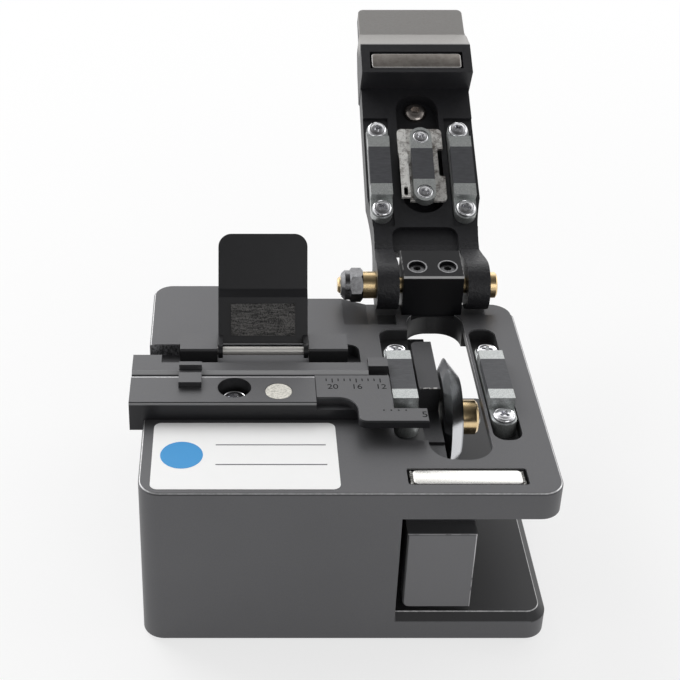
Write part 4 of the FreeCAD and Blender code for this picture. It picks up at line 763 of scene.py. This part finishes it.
def number(text, x, y, height):
    """A plain number as a thin flat mesh, centred on x and standing on y."""
    curve = bpy.data.curves.new("number", "FONT")
    curve.body = text
    curve.size = height * 1.35
    curve.align_x = "CENTER"
    curve.extrude = etch
    made = bpy.data.objects.new("number", curve)
    bpy.context.scene.collection.objects.link(made)
    mesh = bpy.data.meshes.new_from_object(made)
    bpy.data.objects.remove(made)
    mesh.transform(Matrix.Translation((x, y, ruler_high.z)))
    return mesh


for millimetres in (20, 16, 12):
    mesh = number(str(millimetres), blade_centre.x - millimetres / 1000, ruler_high.y - 0.0040, 0.0014)
    piece(f"scale_number_{millimetres}", mesh, "body", "scale_black", etched)
mesh = number("5", ruler_high.x - 0.0006, ruler_low.y + 0.0011, 0.0016)
piece("flange_number_5", mesh, "body", "scale_black", etched)

pin_steel = Finish("pin_steel", (0.88, 0.86, 0.82), 0.55, 0.3)
haze = pin_steel.place.noise(1500, 2.0)
pin_steel.set("Roughness", 0.26 + haze * 0.14)
dress(pin_steel, "lid_hinge_pin", "blade_axle")

# ---------------------------------------------------------------------------------------------
# Lid: a small black plate that swings over the holder on a steel pin. A block of hard foam with a
# ribbed face is glued inside it and presses on the fibre.
lid_black = Finish("lid_black", (0.013, 0.013, 0.015), 0.15, 0.36)
grain = lid_black.place.noise(5200, 3.0, 0.6)
lid_black.set("Base Color", grain.blend((0.008, 0.008, 0.010), (0.018, 0.018, 0.020)))
lid_black.set("Roughness", 0.28 + grain * 0.18)
lid_black.bump(grain, 0.00001, 0.5)
dress(lid_black, "holder_lid")

foam = Finish("lid_foam", (0.035, 0.035, 0.037), 0.0, 0.85)
cells = foam.place.noise(4200, 4.0, 0.7)
rise = foam.place.noise(1500, 3.0, 0.6, (0.35, 2.4, 2.4))
fleck = (cells * 0.6 + rise * 0.4).soft_step(0.38, 0.62)
foam.set("Base Color", fleck.blend((0.010, 0.010, 0.011), (0.17, 0.165, 0.16)))
foam.set("Roughness", 0.75 + cells * 0.2)
foam.bump(cells, 0.00008, 0.8)
lid_open = swung("lid_hinge")[1]
foam_low, foam_high = shut_box("lid_foam_pad", lid_open)
face_z = foam_low.z + 1e-6
shape = block(foam_low, foam_high)
edges = [e for e in shape.edges if min(v.co.z for v in e.verts) < face_z]
bmesh.ops.bevel(shape, geom=edges, offset=0.00012, segments=2, profile=0.5, affect="EDGES", material=-1)
for across, cuts in ((Vector((1, 0, 0)), 70), (Vector((0, 1, 0)), 46)):
    width = (foam_high - foam_low).dot(across)
    for cut in range(1, cuts):
        everything = list(shape.verts) + list(shape.edges) + list(shape.faces)
        place = foam_low + across * width * cut / cuts
        bmesh.ops.bisect_plane(shape, geom=everything, plane_co=place, plane_no=across)

# the face is sunk unevenly in ribs that run along X, and its border stays level
rib_height = 0.00011
for vertex in shape.verts:
    place = vertex.co
    from_edge = min(place.x - foam_low.x, foam_high.x - place.x, place.y - foam_low.y, foam_high.y - place.y)
    if place.z > face_z or from_edge < 0.0001:
        continue
    rib = noise.noise((place.x * 180, place.y * 1700, 4.2))
    rough = noise.noise(place * 4200)
    place.z += rib_height + rib_height * (rib * 0.7 + rough * 0.5)
foam_mesh = mesh_of(shape, "lid_foam")
foam_mesh.transform(lid_open)
pad = piece("lid_foam", foam_mesh, "lid", "foam_black", foam)
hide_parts("lid_foam_pad")

# ---------------------------------------------------------------------------------------------
# Slider: a black anodised block on a ground steel guide, pushed by its front face. It carries
# the blade, a steel disc with a long bevel on both sides, on a stud with a round brass nut.
slider_black = Finish("slider_black", (0.060, 0.060, 0.063), 0.5, 0.4)
grain = slider_black.place.noise(4200, 3.0, 0.65)
chips = slider_black.place.noise(1700, 3.0, 0.6)
# the tower's top front edge is painted pale in patches, partly chipped paint and partly a painted highlight
tower_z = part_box("slider_body")[1].z
tower_y = body_low.y + 0.0283
tower_top = slider_black.place.axis("Z").soft_step(tower_z - 0.0003, tower_z - 0.0001)
tower_front = slider_black.place.axis("Y").band(tower_y, tower_y + 0.00025, 0.00005)
chips_and_edge_highlight = tower_top * tower_front * chips.soft_step(0.42, 0.62)
plain = grain.blend((0.040, 0.040, 0.043), (0.085, 0.085, 0.090))
pale_tone = (0.6, 0.59, 0.57)
slider_black.set("Base Color", chips_and_edge_highlight.blend(plain, pale_tone))
slider_black.set("Roughness", 0.32 + grain * 0.18)
slider_black.bump(grain, 0.00002, 0.7)
dress(slider_black, "slider_body")

# the finger block at its front is finer, with edges that hands have rubbed bright
push_grey = Finish("push_block_grey", (0.13, 0.13, 0.135), 0.5, 0.4)
grain = push_grey.place.noise(6000, 3.0, 0.6)
push_low, push_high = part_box("push_block")
from_left = push_grey.place.axis("X") - push_low.x
from_top = push_high.z - push_grey.place.axis("Z")
rubbed = (from_left > push_high.x - push_low.x - 0.00022) + (from_top < 0.00016) * 0.6
rubbed = rubbed * (push_grey.place.axis("Y") < push_low.y + 0.00018)
rubbed = rubbed.capped() * push_grey.place.noise(700, 3.0, 0.6).soft_step(0.3, 0.5)
plain = grain.blend((0.125, 0.125, 0.13), (0.18, 0.18, 0.187))
push_grey.set("Base Color", rubbed.blend(plain, (0.6, 0.6, 0.61)))
push_grey.set("Roughness", 0.34 + grain * 0.14)
push_grey.bump(grain, 0.00001, 0.5)
dress(push_grey, "push_block")

rail_steel = Finish("rail_steel", (0.55, 0.55, 0.56), 1.0, 0.26)
ground = rail_steel.place.noise(2200, 2.0, 0.5, (8, 1, 8))
rail_steel.set("Roughness", 0.18 + ground * 0.2)
dress(rail_steel, "guide_rail", "guide_carriage")

blade_steel = Finish("blade_steel", (0.5, 0.51, 0.53), 1.0, 0.2)
radius = blade_steel.place.from_axle(blade_centre)
rings = blade_steel.graph.node("CombineXYZ", {}, {0: radius}).noise(9000, 3.0, 0.7)
edge = radius.soft_step(0.0072, 0.0079)
blade_steel.set("Base Color", edge.blend((0.22, 0.23, 0.25), (0.66, 0.67, 0.69)))
blade_steel.set("Roughness", 0.16 + rings * 0.14)
blade_steel.bump(rings, 0.000006, 0.4)
dress(blade_steel, "blade_disc")

# ---------------------------------------------------------------------------------------------
# Studio: a white floor and a white surround that is lit behind the object and dim overhead and
# in front, as in a light tent with a dark front. The floor keeps the object's soft shadow.
floor_mesh = bpy.data.meshes.new("floor")
shape = bmesh.new()
bmesh.ops.create_grid(shape, x_segments=1, y_segments=1, size=6)
shape.to_mesh(floor_mesh)
shape.free()
floor = bpy.data.objects.new("floor", floor_mesh)
bpy.context.scene.collection.objects.link(floor)
paper = Finish("floor_paper", (0.93, 0.93, 0.93), 0.0, 0.9)
grain = paper.place.noise(40, 2.0)
paper.set("Roughness", 0.85 + grain * 0.1)
seen = paper.graph.node("LightPath", output="Is Camera Ray")
mirrored = paper.graph.node("LightPath", output="Is Glossy Ray")
through = paper.graph.node("LightPath", output="Is Transmission Ray")
glow = paper.graph.node("Emission", {}, {"Color": (1, 1, 1, 1), "Strength": 1.0})
direct = (seen + mirrored + through).capped()
distance = paper.graph.node("VectorMath", {"operation": "LENGTH"}, {0: paper.place}, "Value")
near_white = 0.72
whiten = direct * (near_white + distance.soft_step(0.07, 0.3) * (1 - near_white))
lit = Shade(paper.graph.tree, paper.shader.outputs[0])
surface = paper.graph.node("MixShader", {}, {0: whiten, 1: lit, 2: glow})
output = paper.graph.tree.nodes["Material Output"]
paper.graph.tree.links.new(surface.socket, output.inputs["Surface"])
floor_mesh.materials.append(paper.material)

world = bpy.data.worlds.new("studio")
world.use_nodes = True
bpy.context.scene.world = world
air = Shade(world.node_tree)
backdrop = world.node_tree.nodes["Background"]
seen = air.node("LightPath", output="Is Camera Ray")
direction = air.node("TexCoord", output="Generated")
overhead = direction.axis("Z").soft_step(0.62, 0.97)
behind = direction.axis("Y").soft_step(-0.55, 0.45)
front_level, rear_level = 0.28, 1.55
tent = (front_level + behind * (rear_level - front_level)) * (1 - overhead * 0.85)
backdrop.inputs["Color"].default_value = (1, 1, 1, 1)
level = seen + (1 - seen) * tent
world.node_tree.links.new(level.socket, backdrop.inputs["Strength"])


def soft_light(name, place, aim, width, power):
    data = bpy.data.lights.new(name, "AREA")
    data.shape = "SQUARE"
    data.size = width
    data.energy = power
    lamp = bpy.data.objects.new(name, data)
    lamp.location = place
    lamp.rotation_euler = (Vector(aim) - Vector(place)).to_track_quat("-Z", "Y").to_euler()
    bpy.context.scene.collection.objects.link(lamp)


soft_light("key", (-0.5, 0.5, 0.6), (0, 0, 0.03), 0.5, 3.4)
soft_light("fill", (0.35, -0.75, 0.35), (0, 0, 0.02), 0.5, 1.2)

eye = bpy.data.cameras.new("camera")
eye.lens = 76.3
eye.sensor_width = 36
eye.shift_x = 0.157
eye.shift_y = -0.091
camera = bpy.data.objects.new("camera", eye)
camera.location = (-0.0182, -0.2016, 0.174)
camera.rotation_euler = (math.radians(58.64), 0, 0)
bpy.context.scene.collection.objects.link(camera)
bpy.context.scene.camera = camera
bpy.context.scene.view_settings.view_transform = "Standard"
